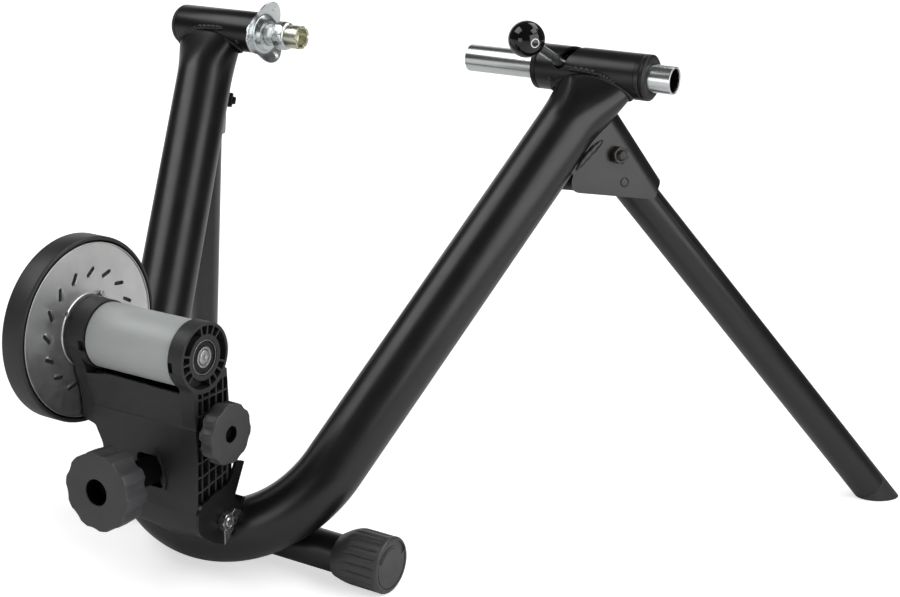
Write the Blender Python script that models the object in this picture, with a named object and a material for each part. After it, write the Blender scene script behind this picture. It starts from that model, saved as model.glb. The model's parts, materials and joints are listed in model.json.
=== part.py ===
"""Magnetic bike trainer: a folding steel stand that carries a magnetic resistance unit.

Metres, +Z up. X runs along the axle line, with the clamp lever on the +X side. The folding
legs reach out to +Y, and the resistance unit hangs at -Y. The trainer stands on z = 0.
"""

import math

import bmesh
import bpy
from mathutils import Matrix, Vector

# Room between touching pieces, and between a turning piece and its bore
GAP = 0.0003

# Tubes
TUBE_RADIUS = 0.0254
TUBE_WALL = 0.002
SMALL_TUBE_RADIUS = 0.015875
SMALL_TUBE_WALL = 0.0018
HEAD_RADIUS = 0.01905
HEAD_BORE = 0.0165

# U-shaped frame: it leans back, and its uprights spread from the bend to the axle line
AXLE_HEIGHT = 0.3976
AXLE_Y = 0.07226
UPRIGHT_SPAN = 0.2073
SPLAY = math.radians(15.86)
LEAN = math.radians(36.2)
BEND_RADIUS = 0.1037
BEND_CENTRE = (UPRIGHT_SPAN * math.cos(SPLAY) - BEND_RADIUS) / math.sin(SPLAY)
BEND_STEPS = 13
BEND_STEPS_INSIDE = 9
TUBE_STEPS = 18
BORE_STEPS = 12
CRIMP_LENGTH = 0.06
CRIMP_STATIONS = (-0.02, 0.0, 0.012, 0.024, 0.036, 0.048, 0.060)
CRIMP_ACROSS = 0.0345
CRIMP_NORMAL = 0.0143
COPE_TOP = 0.004

# Cross foot bar and its caps, bored off centre
FOOT_BAR_HALF = 0.1545
FOOT_BAR_HEIGHT = 0.0205
FOOT_BAR_OFFSET = TUBE_RADIUS + SMALL_TUBE_RADIUS + GAP
FOOT_CAP_INNER = 0.1115
FOOT_CAP_OUTER = 0.1590
FOOT_CAP_RADIUS = 0.0234
FOOT_CAP_LIFT = 0.0029
FOOT_CAP_FLUTES = 20

# Folding legs
LEG_JOINT_DROP = 0.0435
LEG_FOOT = Vector((0.4071, 0.2271, 0.0))
LEG_PIVOT = 0.0438
LEG_END_RADIUS = 0.017
LEG_FOOT_GAP = 0.0015
LEG_SPINE_DISTANCE = 0.0059
BRACKET_OUTER = 0.019
BRACKET_INNER = 0.0165
BRACKET_TILT = math.radians(5.4)
BRACKET_SPINE_START = Vector((0.0185, -0.0099))
BOLT_RADIUS = 0.004
BOLT_HOLE = BOLT_RADIUS + GAP
BOLT_HEAD = 0.0065
NUT_HEIGHT = 0.0062
RIVET_PLACE = Vector((0.0656, 0.0101))
RIVET_RADIUS = 0.00375

# Clamp side
SPINDLE_RADIUS = 0.0115
SPINDLE_BORE = 0.0098
SPINDLE_START = 0.0787
SPINDLE_END = 0.271
LEVER_PLACE = 0.1739
LEVER_ANGLE = math.radians(158.2)
LEVER_SWEEP = math.radians(120)
LEVER_RADIUS = 0.004
CLAMP_TRAVEL = 0.016
BALL_REACH = 0.0814
BALL_RADIUS = 0.0148

# Adjusting side
LOCK_RING_FACE = -0.1403
LOCK_RING_BACK = -0.1480
LOCK_RING_RADIUS = 0.0213
LOCK_RING_PLATE = 0.0018
EAR_REACH = 0.0308
EAR_BEND = 0.0034
EAR_ANGLES = (math.radians(64), math.radians(184), math.radians(304))
NECK_RADIUS = 0.0102
DOME_RADIUS = 0.0132
CUP_RADIUS = 0.0107

# Resistance unit
ROLLER_AXIS = Vector((0.0, -0.3163, 0.1956))
ROLLER_RADIUS = 0.026
ROLLER_LEFT = -0.0522
ROLLER_RIGHT = 0.0309
HUB_RADIUS = 0.0273
SHAFT_RADIUS = 0.006
BEARING_RADIUS = 0.0137
YOKE_PIVOT = Vector((0.0, -0.2996, 0.0597))
PLATE_FACE = -0.072
PLATE_RADIUS = 0.070
FLYWHEEL_RADIUS = 0.0746
FLYWHEEL_BACK = -0.0925
FLYWHEEL_FRONT = -0.071
SLOT_COUNT = 16
SLOT_CIRCLE = 0.0464
SLOT_START = math.radians(19.6)
SLOT_SLANT = math.radians(-46)
MAGNET_COUNT = 8
SCREW_CIRCLE = 0.0300
SCREW_RADIUS = 0.0014
SCREW_HEAD = 0.0021
FIXING_CIRCLE = 0.0205
FIXING_RADIUS = 0.0020

# Moulded yoke
ARM_INNER = 0.0316
ARM_OUTER = 0.045
YOKE_LEFT = -0.0705
YOKE_FRONT = -0.3265
YOKE_BACK = -0.2876
WALL_TOP = 0.1600
RIB = 0.0016
RIB_DEPTH = 0.009
RIB_COLUMNS = (-0.3190, -0.3110, -0.3030, -0.2950)
RIB_ROWS = (0.0885, 0.1004, 0.1123, 0.1245, 0.1370, 0.1498, 0.1628)
RIB_SLOPE_LOW = 0.28
RIB_SLOPE_HIGH = 0.05

# Roller tension: barrel nut, bolt, sleeve and knob
BARREL_NUT = Vector((0.0, -0.281, 0.0985))
TENSION_FACE = -0.388
TENSION_BASE = -0.360
TENSION_KNOB_RADIUS = 0.0311
SIDE_KNOB_PLACE = Vector((0.0, -0.310, 0.137))
SIDE_KNOB_BASE = 0.050
SIDE_KNOB_FACE = 0.066
SIDE_KNOB_RADIUS = 0.0243

EAR_INNER = 0.0465
EAR_OUTER = 0.0495
CHEEK_INNER = 0.0165
CHEEK_OUTER = 0.0195

ARC_STEP = math.radians(30)
SHARP_ANGLE = math.radians(32)


def clear_scene():
    for item in list(bpy.data.objects):
        bpy.data.objects.remove(item, do_unlink=True)


def make_material(name, color, roughness, metallic=0.0):
    material = bpy.data.materials.new(name)
    material.use_nodes = True
    shader = material.node_tree.nodes["Principled BSDF"]
    shader.inputs["Base Color"].default_value = (*color, 1.0)
    shader.inputs["Roughness"].default_value = roughness
    shader.inputs["Metallic"].default_value = metallic
    material.diffuse_color = (*color, 1.0)
    return material


def make_carrier(name, place=Vector(), parent=None):
    """An empty on a joint's axis, or the trainer's own reference point."""
    carrier = bpy.data.objects.new(name, None)
    bpy.context.scene.collection.objects.link(carrier)
    carrier.parent = parent
    carrier.matrix_basis = Matrix.Translation(place)
    return carrier


def add_part(name, shape, material, carrier, matrix=None):
    """Make an object from a bmesh, placed by a matrix in the frame that has the axle line at y = 0."""
    mesh = bpy.data.meshes.new(name)
    shape.to_mesh(mesh)
    shape.free()
    mesh.shade_smooth()
    mesh.set_sharp_from_angle(angle=SHARP_ANGLE)
    if material:
        mesh.materials.append(material)
    part = bpy.data.objects.new(name, mesh)
    bpy.context.scene.collection.objects.link(part)
    part.parent = carrier
    matrix = matrix or Matrix.Identity(4)
    if carrier.parent:
        matrix = carrier.matrix_basis.inverted() @ matrix
    part.matrix_basis = matrix
    return part


def combine_with(part, shape, operation):
    """Apply a shape, given in the part's own coordinates, as a live Boolean."""
    tool = add_part(f"{part.name}_tool_{len(part.modifiers)}", shape, None, part)
    tool.matrix_basis = Matrix.Identity(4)
    tool.hide_render = True
    tool.display_type = "WIRE"
    modifier = part.modifiers.new(operation.lower(), "BOOLEAN")
    modifier.operation = operation
    modifier.solver = "EXACT"
    modifier.object = tool


def cut(part, *shapes):
    combine_with(part, gather(shapes), "DIFFERENCE")


def fuse(part, *shapes):
    combine_with(part, gather(shapes), "UNION")


def keep(part, shape):
    combine_with(part, shape, "INTERSECT")


def gather(shapes):
    """Hold several shapes that don't touch in one bmesh."""
    whole = bmesh.new()
    for shape in shapes:
        mesh = bpy.data.meshes.new("piece")
        shape.to_mesh(mesh)
        shape.free()
        whole.from_mesh(mesh)
        bpy.data.meshes.remove(mesh)
    return whole


def loft(rings, looped=False):
    """Skin a row of rings. A ring of one point closes to that point."""
    shape = bmesh.new()
    rows = [[shape.verts.new(point) for point in ring] for ring in rings]
    following = rows[1:] + rows[:1] if looped else rows[1:]
    for first, second in zip(rows, following):
        for index in range(max(len(first), len(second))):
            here = index
            ahead = index + 1
            corners = [first[here % len(first)], first[ahead % len(first)]]
            corners += [second[ahead % len(second)], second[here % len(second)]]
            corners = list(dict.fromkeys(corners))
            if len(corners) > 2:
                shape.faces.new(corners)
    if not looped:
        for row in (rows[0], rows[-1]):
            if len(row) > 2:
                shape.faces.new(row)
    bmesh.ops.recalc_face_normals(shape, faces=shape.faces)
    return shape


def turned(profile, steps=20, looped=False, form=None):
    """Turn a profile of (x, radius) or (x, radius, lift) points about local X.

    Lift raises the ring's centre. Form(x, radius, angle) gives a ring that isn't round.
    """
    rings = []
    for x, radius, *rest in profile:
        lift = rest[0] if rest else 0.0
        if radius == 0.0:
            rings.append([(x, 0.0, lift)])
            continue
        ring = []
        for step in range(steps):
            angle = math.tau * step / steps
            reach = form(x, radius, angle) if form else radius
            ring.append((x, reach * math.cos(angle), lift + reach * math.sin(angle)))
        rings.append(ring)
    return loft(rings, looped)


def slab(outline, low, high, axis="Z"):
    """Extrude an outline along one axis; its points hold the other two coordinates in order."""
    slot = "XYZ".index(axis)
    rings = []
    for level in (low, high):
        rings.append([(*point[:slot], level, *point[slot:]) for point in outline])
    return loft(rings)


def circle(centre, radius, steps=12, start=0.0, turn=math.tau):
    """Points of a circle, or of an arc with both of its ends."""
    full = abs(turn) >= math.tau - 1e-6
    count = steps if full else steps + 1
    points = []
    for step in range(count):
        angle = start + turn * step / steps
        points.append((centre[0] + radius * math.cos(angle), centre[1] + radius * math.sin(angle)))
    return points


def rounded(corners):
    """Outline through (a, b) corners; a third value rounds that corner with an arc."""
    outline = []
    for index, corner in enumerate(corners):
        here = Vector(corner[:2])
        if len(corner) == 2:
            outline.append(tuple(here))
            continue
        radius = corner[2]
        back = (Vector(corners[index - 1][:2]) - here).normalized()
        ahead = (Vector(corners[(index + 1) % len(corners)][:2]) - here).normalized()
        half = back.angle(ahead) / 2
        centre = here + (back + ahead).normalized() * radius / math.sin(half)
        first = here + back * radius / math.tan(half) - centre
        last = here + ahead * radius / math.tan(half) - centre
        turn = math.pi - 2 * half
        if first.cross(last) < 0:
            turn = -turn
        steps = max(2, math.ceil(abs(turn) / ARC_STEP))
        for step in range(steps + 1):
            arm = Matrix.Rotation(turn * step / steps, 2) @ first
            outline.append(tuple(centre + arm))
    return outline


def hexagonal(flat):
    """A ring form that makes every ring of this radius or more a hexagon."""
    def form(_x, radius, angle):
        if radius < flat - 1e-6:
            return radius
        return radius / math.cos(math.radians(30) - angle % math.radians(60))
    return form


def hex_bolt(tip, shoulder, head_height, radius=BOLT_RADIUS, flat=BOLT_HEAD, steps=12):
    """Bolt along local X with its tip at the low end and a hexagon head past the shoulder."""
    profile = [(tip, 0.0), (tip, radius - 0.0008), (tip + 0.0008, radius), (shoulder, radius)]
    profile += [(shoulder, flat), (shoulder + head_height, flat), (shoulder + head_height, 0.0)]
    return turned(profile, steps, form=hexagonal(flat))


def hex_nut(low, high, bore=BOLT_HOLE, flat=BOLT_HEAD, steps=12):
    profile = [(low, bore), (low, flat), (high, flat), (high, bore)]
    return turned(profile, steps, looped=True, form=hexagonal(flat))


def pipe(low, high, outer, inner, steps=TUBE_STEPS, edge=0.0):
    """Straight tube along local X, with its outer edges broken if an edge is given."""
    profile = [(low, inner), (low, outer - edge), (high, outer - edge), (high, inner)]
    if edge:
        profile[2:2] = [(low + edge, outer), (high - edge, outer)]
    return turned(profile, steps, looped=True)


def on_frame(across, down, normal=0.0):
    """A point given across, down and in front of the frame's plane, from the middle of the axle line."""
    y = -down * math.sin(LEAN) + normal * math.cos(LEAN)
    z = AXLE_HEIGHT - down * math.cos(LEAN) - normal * math.sin(LEAN)
    return Vector((across, y, z))


def frame_matrix():
    origin = on_frame(0, 0)
    columns = [Vector((1, 0, 0)), on_frame(0, 1) - origin, on_frame(0, 0, 1) - origin]
    matrix = Matrix(columns).transposed().to_4x4()
    matrix.translation = origin
    return matrix


def crimp(distance):
    """Half widths of the upright near its top, where the round tube is pressed to the head tube's width."""
    blend = min(max(distance / CRIMP_LENGTH, 0.0), 1.0)
    blend = blend * blend * (3 - 2 * blend)
    across = CRIMP_ACROSS + (TUBE_RADIUS - CRIMP_ACROSS) * blend
    normal = CRIMP_NORMAL + (TUBE_RADIUS - CRIMP_NORMAL) * blend
    return across, normal


def upright_rings(side, distances, grow, steps=TUBE_STEPS):
    """Rings of one upright in the frame's own plane, at distances from the axle line down the tube."""
    rings = []
    for distance in distances:
        half_across, half_normal = crimp(distance)
        centre = (side * (UPRIGHT_SPAN - distance * math.sin(SPLAY)), distance * math.cos(SPLAY))
        outward = (side * math.cos(SPLAY), math.sin(SPLAY))
        rings.append(tube_ring(centre, outward, half_across + grow, half_normal + grow, steps))
    return rings


def tube_ring(centre, outward, half_across, half_normal, steps):
    ring = []
    for step in range(steps):
        angle = math.tau * step / steps
        reach = half_across * math.cos(angle)
        ring.append((centre[0] + outward[0] * reach, centre[1] + outward[1] * reach,
                     half_normal * math.sin(angle)))
    return ring


def frame_rings(grow, bend_steps, stations, steps):
    """Rings along the whole U, from the right top to the left top."""
    right = upright_rings(1, stations, grow, steps)
    left = upright_rings(-1, stations, grow, steps)
    bend = []
    for step in range(bend_steps + 1):
        angle = SPLAY + (math.pi - 2 * SPLAY) * step / bend_steps
        outward = (math.cos(angle), math.sin(angle))
        centre = (BEND_RADIUS * outward[0], BEND_CENTRE + BEND_RADIUS * outward[1])
        bend.append(tube_ring(centre, outward, TUBE_RADIUS + grow, TUBE_RADIUS + grow, steps))
    return right + bend + left[::-1]


def build_frame_tube(root, paint):
    outside = loft(frame_rings(0.0, BEND_STEPS, CRIMP_STATIONS, TUBE_STEPS))
    inside = loft(frame_rings(-TUBE_WALL, BEND_STEPS_INSIDE, (-0.03, 0.0, 0.030, 0.060), BORE_STEPS))
    tube = add_part("u_frame_tube", outside, paint, root, frame_matrix())
    cut(tube, inside)
    # The tops are coped to sit round the head tubes
    saddle = HEAD_RADIUS + GAP
    reach = math.acos(COPE_TOP / saddle)
    arc = circle((0, 0), saddle, 16, reach, -2 * reach)
    cope = [(COPE_TOP, -0.04), (-0.05, -0.04), (-0.05, 0.04), (COPE_TOP, 0.04)] + arc
    cut(tube, slab(cope, -0.3, 0.3, "X"))


def build_foot_bar(root, paint, plastic):
    down = (AXLE_HEIGHT - FOOT_BAR_HEIGHT - FOOT_BAR_OFFSET * math.sin(LEAN)) / math.cos(LEAN)
    place = on_frame(0, down, FOOT_BAR_OFFSET)
    bar = pipe(-FOOT_BAR_HALF, FOOT_BAR_HALF, SMALL_TUBE_RADIUS, SMALL_TUBE_RADIUS - SMALL_TUBE_WALL)
    add_part("foot_bar", bar, paint, root, Matrix.Translation(place))
    for side, label in ((1, "right"), (-1, "left")):
        carrier = make_carrier(f"{label}_foot_cap_axis", place, root)
        cap = add_part(f"{label}_foot_cap", foot_cap_shape(side), plastic, carrier, Matrix.Translation(place))
        # A crescent is sunk in the end face, above the bore
        recess = circle((0, FOOT_CAP_LIFT), 0.0206, 8, math.radians(25), math.radians(130))
        recess += circle((0, 0), 0.0180, 8, math.radians(155), math.radians(-130))
        face = side * FOOT_CAP_OUTER
        cut(cap, slab(recess, face - 0.0015, face + 0.0015, "X"))


def foot_cap_shape(side):
    """Fluted cap, closed at the outer end, whose gripping body is higher than its bore."""
    inner = FOOT_CAP_INNER
    outer = FOOT_CAP_OUTER
    bottom = FOOT_CAP_OUTER - 0.0042
    bore = SMALL_TUBE_RADIUS + 0.0004
    neck = 0.0182
    body = FOOT_CAP_RADIUS
    lift = FOOT_CAP_LIFT

    def flutes(_x, radius, angle):
        wave = max(0.0, -math.cos(FOOT_CAP_FLUTES * angle)) ** 2
        return radius - 0.0011 * wave if radius > neck + 0.001 else radius

    profile = [(outer, 0.0), (outer, body - 0.0025, lift), (outer - 0.002, body, lift)]
    for share in (1.0, 0.75, 0.5, 0.25, 0.0):
        swell = math.sin(math.pi / 2 * share)
        profile.append((inner + 0.020 * share, neck + (body - neck) * swell, lift * swell))
    profile += [(inner, bore), (bottom, bore), (bottom, 0.0)]
    return turned([(side * x, *rest) for x, *rest in profile], 2 * FOOT_CAP_FLUTES, form=flutes)


def build_heads(root, paint, plastic, zinc):
    """Head tubes on the axle line, with what is pressed into their ends."""
    place = Matrix.Translation((0, 0, AXLE_HEIGHT))
    add_part("left_head_tube", pipe(-0.2394, -0.149, HEAD_RADIUS, HEAD_BORE, 20), paint, root, place)
    plug = HEAD_BORE - GAP
    cap = [(-0.2462, 0.0), (-0.2462, 0.0125), (-0.2456, 0.0152), (-0.2442, 0.0174), (-0.2421, 0.0187)]
    cap += [(-0.2397, HEAD_RADIUS), (-0.2397, plug), (-0.2300, plug), (-0.2300, 0.0)]
    add_part("left_head_cap", turned(cap), plastic, root, place)
    bushing = pipe(-0.189, -0.1492, plug, NECK_RADIUS + GAP, 16)
    add_part("left_head_bushing", bushing, zinc, root, place)

    head = add_part("right_head_tube", pipe(0.1512, 0.2463, HEAD_RADIUS, HEAD_BORE, 20), paint, root, place)
    cut(head, lever_slot())
    bore = SPINDLE_RADIUS + GAP
    inner = [(0.1466, bore), (0.1463, 0.0181), (0.1470, HEAD_RADIUS), (0.1509, HEAD_RADIUS), (0.1509, plug)]
    inner += [(0.1640, plug), (0.1640, bore)]
    add_part("right_inner_bushing", turned(inner, 18, looped=True), plastic, root, place)
    outer = [(0.2300, bore), (0.2300, plug), (0.2466, plug), (0.2466, HEAD_RADIUS), (0.2496, HEAD_RADIUS)]
    outer += [(0.2510, 0.0172), (0.2510, bore)]
    add_part("right_outer_bushing", turned(outer, 18, looped=True), plastic, root, place)


def lever_slot():
    """Helical slot that the lever's rod follows as it turns the spindle and slides it."""
    steps = 10
    margin = math.radians(17)
    slope = CLAMP_TRAVEL / LEVER_SWEEP
    half_width = (LEVER_RADIUS + 0.0005) / math.cos(math.atan(slope / HEAD_RADIUS)) + 0.0002
    rings = []
    for step in range(steps + 1):
        turn = -margin + (LEVER_SWEEP + 2 * margin) * step / steps
        angle = LEVER_ANGLE - turn
        middle = LEVER_PLACE + slope * min(max(turn, 0.0), LEVER_SWEEP)
        ring = []
        for offset, reach in ((-1, 0.0125), (1, 0.0125), (1, 0.0225), (-1, 0.0225)):
            ring.append((middle + offset * half_width, reach * math.cos(angle), reach * math.sin(angle)))
        rings.append(ring)
    return loft(rings)


def leg_matrix(side):
    """Local X down the leg, local Y across it towards the upright's lower end, Z on the hinge axis."""
    top = on_frame(side * (UPRIGHT_SPAN - LEG_JOINT_DROP * math.sin(SPLAY)), LEG_JOINT_DROP * math.cos(SPLAY))
    foot = Vector((side * LEG_FOOT.x, LEG_FOOT.y, LEG_FOOT.z))
    upright = (on_frame(-side * math.sin(SPLAY), math.cos(SPLAY)) - on_frame(0, 0)).normalized()
    along = (foot - top).normalized()
    across = (upright - along * upright.dot(along)).normalized()
    matrix = Matrix([along, across, along.cross(across)]).transposed().to_4x4()
    matrix.translation = top
    return matrix


def build_leg(side, label, root, paint, plastic, steel):
    place = leg_matrix(side)
    length = (Vector((side * LEG_FOOT.x, LEG_FOOT.y, 0.0)) - place.translation).length
    build_bracket(side, label, root, paint, steel, place)

    pivot = place @ Matrix.Translation((LEG_PIVOT, 0, 0))
    carrier = make_carrier(f"{label}_leg_axis", pivot.translation, root)
    drop = -place.col[0].z
    slope = math.sqrt(1 - drop * drop)
    tube_end = length - LEG_PIVOT - (SMALL_TUBE_RADIUS * slope + LEG_FOOT_GAP) / drop
    outer = SMALL_TUBE_RADIUS
    bore = SMALL_TUBE_RADIUS - SMALL_TUBE_WALL

    def ring(radius, end):
        points = []
        for step in range(TUBE_STEPS):
            angle = math.tau * step / TUBE_STEPS
            y = radius * math.cos(angle)
            z = radius * math.sin(angle)
            points.append((end(y, z), y, z))
        return points

    def top(y, z):
        """The end is rounded about the pivot, so that it clears the spine as the leg folds."""
        spine = LEG_SPINE_DISTANCE + math.sqrt(BRACKET_INNER ** 2 - z * z) - 2 * GAP
        reach = min(LEG_END_RADIUS, spine)
        return -math.sqrt(max(reach * reach - y * y, 0.0))

    def floor(y, z):
        """Where a line along the leg meets the floor."""
        return (pivot.translation.z + y * pivot.col[1].z + z * pivot.col[2].z) / drop

    def level(x):
        return lambda _y, _z: x

    rings = [ring(bore, top), ring(outer, top), ring(outer, level(tube_end)), ring(bore, level(tube_end))]
    tube = add_part(f"{label}_leg_tube", loft(rings, looped=True), paint, carrier, pivot)
    cut(tube, slab(circle((0, 0), BOLT_HOLE), -0.03, 0.03))

    plug = bore - GAP
    start = tube_end + GAP
    rings = [[(start - 0.020, 0, 0)], ring(plug, level(start - 0.020)), ring(plug, level(start))]
    rings += [ring(outer, level(start)), ring(outer, floor)]
    add_part(f"{label}_leg_plug", loft(rings), plastic, carrier, pivot)

    across = pivot @ Matrix.Rotation(math.radians(-90), 4, "Y")
    bush = pipe(-0.0124, 0.0124, 0.0060, BOLT_HOLE, 12)
    add_part(f"{label}_leg_bush", bush, steel, carrier, across)


def build_bracket(side, label, root, paint, steel, place):
    """Folded channel: a half-round spine behind the leg, two plates that reach down the upright."""
    length = 0.0855
    plate = 0.070
    outer = circle((0, 0), BRACKET_OUTER, 8, -math.pi / 2, -math.pi)
    inner = circle((0, 0), BRACKET_INNER, 8, math.pi / 2, math.pi)
    section = [(plate, -BRACKET_OUTER), *outer, (plate, BRACKET_OUTER), (plate, BRACKET_INNER), *inner]
    section.append((plate, -BRACKET_INNER))
    channel = slab(section, -0.012, length, "X")
    spine = Matrix.Translation((*BRACKET_SPINE_START, 0)) @ Matrix.Rotation(BRACKET_TILT, 4, "Z")
    channel.transform(spine)
    bracket = add_part(f"{label}_leg_bracket", channel, paint, root, place)
    silhouette = [(0.0, -0.035), (0.0, 0.0410), (0.0275, 0.0410), (0.0345, 0.0534, 0.009)]
    silhouette += [(0.0968, -0.001, 0.003), (0.0932, -0.012), (0.0921, -0.035)]
    keep(bracket, slab(rounded(silhouette), -0.03, 0.03))
    clearance = loft(upright_rings(side, [*CRIMP_STATIONS, 0.15], 1.5 * GAP))
    clearance.transform(place.inverted() @ frame_matrix())
    cut(bracket, clearance)
    rivet_hole = slab(circle(RIVET_PLACE, RIVET_RADIUS + GAP), -0.022, -0.014)
    cut(bracket, slab(circle((LEG_PIVOT, 0), BOLT_HOLE), -0.03, 0.03), rivet_hole)

    # Local X of the fasteners runs along the hinge axis, with the nut at its low end
    hinge = place @ Matrix.Translation((LEG_PIVOT, 0, 0)) @ Matrix.Rotation(math.radians(-90), 4, "Y")
    seat = BRACKET_OUTER + GAP
    bolt = hex_bolt(-seat - NUT_HEIGHT - 0.0030, seat, 0.0053)
    add_part(f"{label}_leg_pivot_bolt", bolt, steel, root, hinge)
    add_part(f"{label}_leg_pivot_nut", hex_nut(-seat - NUT_HEIGHT, -seat), steel, root, hinge)
    rivet_place = place @ Matrix.Translation((*RIVET_PLACE, 0)) @ Matrix.Rotation(math.radians(-90), 4, "Y")
    rivet = [(-0.0194, 0.0), (-0.0194, 0.0030), (-0.0190, RIVET_RADIUS), (-0.0166, RIVET_RADIUS)]
    rivet.append((-0.0166, 0.0))
    add_part(f"{label}_bracket_rivet", turned(rivet, 12), paint, root, rivet_place)


def build_clamp(root, steel, dark, ball_black):
    """Sliding spindle that clamps the wheel's axle, with the lever that turns and slides it."""
    place = Matrix.Translation((0, 0, AXLE_HEIGHT))
    carrier = make_carrier("clamp_axis", Vector((0, 0, AXLE_HEIGHT)), root)
    tube = pipe(SPINDLE_START, SPINDLE_END, SPINDLE_RADIUS, SPINDLE_BORE, 20, edge=0.0005)
    spindle = add_part("clamp_spindle", tube, steel, carrier, place)
    rod_place = place @ Matrix.Translation((LEVER_PLACE, 0, 0))
    rod_place = rod_place @ Matrix.Rotation(LEVER_ANGLE, 4, "X") @ Matrix.Rotation(math.radians(90), 4, "Z")
    hole = slab(circle((0, 0), LEVER_RADIUS + GAP), 0.003, 0.02, "X")
    bore = slab(circle((0, 0), LEVER_RADIUS + GAP), 0.0, 0.02, "X")
    hole.transform(place.inverted() @ rod_place)
    bore.transform(place.inverted() @ rod_place)
    cut(spindle, hole)
    core = [(0.150, 0.0), (0.150, SPINDLE_BORE - GAP), (0.198, SPINDLE_BORE - GAP), (0.198, 0.0)]
    plug = add_part("clamp_core", turned(core, 16), dark, carrier, place)
    cut(plug, bore)

    ball_flat = 0.0052
    neck = math.sqrt(BALL_RADIUS ** 2 - ball_flat ** 2)
    rod = [(GAP, 0.0), (GAP, LEVER_RADIUS), (BALL_REACH - 0.004, LEVER_RADIUS), (BALL_REACH - 0.004, 0.0)]
    add_part("clamp_lever", turned(rod, 12), steel, carrier, rod_place)
    profile = [(BALL_REACH + BALL_RADIUS, 0.0)]
    top = math.atan2(ball_flat, -neck)
    for step in range(1, 9):
        angle = top * step / 8
        profile.append((BALL_REACH + BALL_RADIUS * math.cos(angle), BALL_RADIUS * math.sin(angle)))
    profile += [(profile[-1][0], LEVER_RADIUS + GAP), (BALL_REACH - 0.0037, LEVER_RADIUS + GAP)]
    profile.append((BALL_REACH - 0.0037, 0.0))
    add_part("clamp_ball", turned(profile, 20), ball_black, carrier, rod_place)

    slider = make_carrier("clamp_slide", Vector((0, 0, AXLE_HEIGHT)), root)
    mouth = SPINDLE_START - 0.0008
    cup = [(0.1020, 0.0), (0.1020, SPINDLE_BORE - GAP), (mouth, SPINDLE_BORE - GAP), (mouth, 0.0083)]
    cup += [(0.0900, 0.0075), (0.0960, 0.0)]
    add_part("right_axle_cup", turned(cup, 16), dark, slider, place)


def build_cone(root, zinc, gold):
    """Adjusting side: lock ring, threaded sleeve and the castellated cup that takes the wheel's axle."""
    place = Matrix.Translation((0, 0, AXLE_HEIGHT))
    ring_axis = make_carrier("lock_ring_axis", Vector((0, 0, AXLE_HEIGHT)), root)
    add_lock_ring(ring_axis, zinc, place)

    sleeve_axis = make_carrier("cone_axis", Vector((0, 0, AXLE_HEIGHT)), root)
    bore = 0.0064
    profile = [(-0.2150, bore), (-0.2150, NECK_RADIUS - 0.0008), (-0.2142, NECK_RADIUS)]
    profile += [(-0.1310, NECK_RADIUS), (-0.1305, 0.0118), (-0.1280, DOME_RADIUS), (-0.1220, DOME_RADIUS)]
    profile += [(-0.1190, 0.0124), (-0.1174, 0.0108), (-0.1174, bore)]
    sleeve = add_part("cone_sleeve", turned(profile, looped=True), zinc, sleeve_axis, place)
    # Two spanner flats, and a pocket in the dome
    flats = []
    for side in (1, -1):
        low, high = sorted((side * 0.0122, side * 0.02))
        flats.append(slab([(-0.1312, low), (-0.1150, low), (-0.1150, high), (-0.1312, high)], -0.02, 0.02))
    for shape in flats:
        shape.transform(Matrix.Rotation(math.radians(-30), 4, "X"))
    cut(sleeve, *flats)
    pocket = slab([(-0.1285, 0.0085), (-0.1200, 0.0085), (-0.1200, 0.02), (-0.1285, 0.02)], -0.0042, 0.0042)
    pocket.transform(Matrix.Rotation(math.radians(195), 4, "X"))
    cut(sleeve, pocket)

    slider = make_carrier("cone_slide", Vector((0, 0, AXLE_HEIGHT)), root)
    stem = bore - GAP
    profile = [(-0.1550, 0.0), (-0.1550, stem), (-0.1171, stem), (-0.1171, CUP_RADIUS - 0.0006)]
    profile += [(-0.1165, CUP_RADIUS), (-0.1036, CUP_RADIUS), (-0.1030, CUP_RADIUS - 0.0006)]
    profile += [(-0.1030, 0.0082), (-0.1130, 0.0082), (-0.1130, 0.0)]
    cup = add_part("cone_cup", turned(profile), gold, slider, place)
    notches = []
    for step in range(6):
        outline = [(-0.1047, 0.006), (-0.1010, 0.006), (-0.1010, 0.013), (-0.1047, 0.013)]
        notch = slab(outline, -0.0013, 0.0013)
        notch.transform(Matrix.Rotation(math.tau * step / 6, 4, "X"))
        notches.append(notch)
    cut(cup, *notches)


def add_lock_ring(carrier, zinc, place):
    """Pressed ring with three broad ears that lean a little towards the cup, each with a finger dimple."""
    steps = 48
    bore = NECK_RADIUS + GAP
    flat = 0.0175
    back = LOCK_RING_BACK
    front = back + LOCK_RING_PLATE

    def reach(angle):
        nearest = min(abs(math.remainder(angle - ear, math.tau)) for ear in EAR_ANGLES)
        return LOCK_RING_RADIUS + (EAR_REACH - LOCK_RING_RADIUS) * (0.5 + 0.5 * math.cos(3 * nearest)) ** 0.9

    rings = []
    for x, radius in ((back, bore), (back, flat), (back, None), (front, None), (front, flat),
                      (front + 0.0034, 0.0152), (LOCK_RING_FACE, 0.0142), (LOCK_RING_FACE, bore)):
        ring = []
        for step in range(steps):
            angle = math.tau * step / steps
            out = radius or reach(angle)
            bend = EAR_BEND * max(0.0, (out - flat) / (EAR_REACH - flat)) ** 1.6
            ring.append((x + bend, out * math.cos(angle), out * math.sin(angle)))
        rings.append(ring)
    ring = add_part("lock_ring", loft(rings, looped=True), zinc, carrier, place)
    hollow = [(-0.0007, 0.0), (-0.0004, 0.0022), (0.0006, 0.0036), (0.0040, 0.0036), (0.0040, 0.0)]
    dimples = []
    for angle in EAR_ANGLES:
        dimple = turned(hollow, 12)
        dimple.transform(Matrix.Rotation(math.radians(-19), 4, "Z"))
        dimple.transform(Matrix.Translation((front + 0.0021, 0.0255, 0)))
        dimple.transform(Matrix.Rotation(angle, 4, "X"))
        dimples.append(dimple)
    cut(ring, *dimples)


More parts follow.
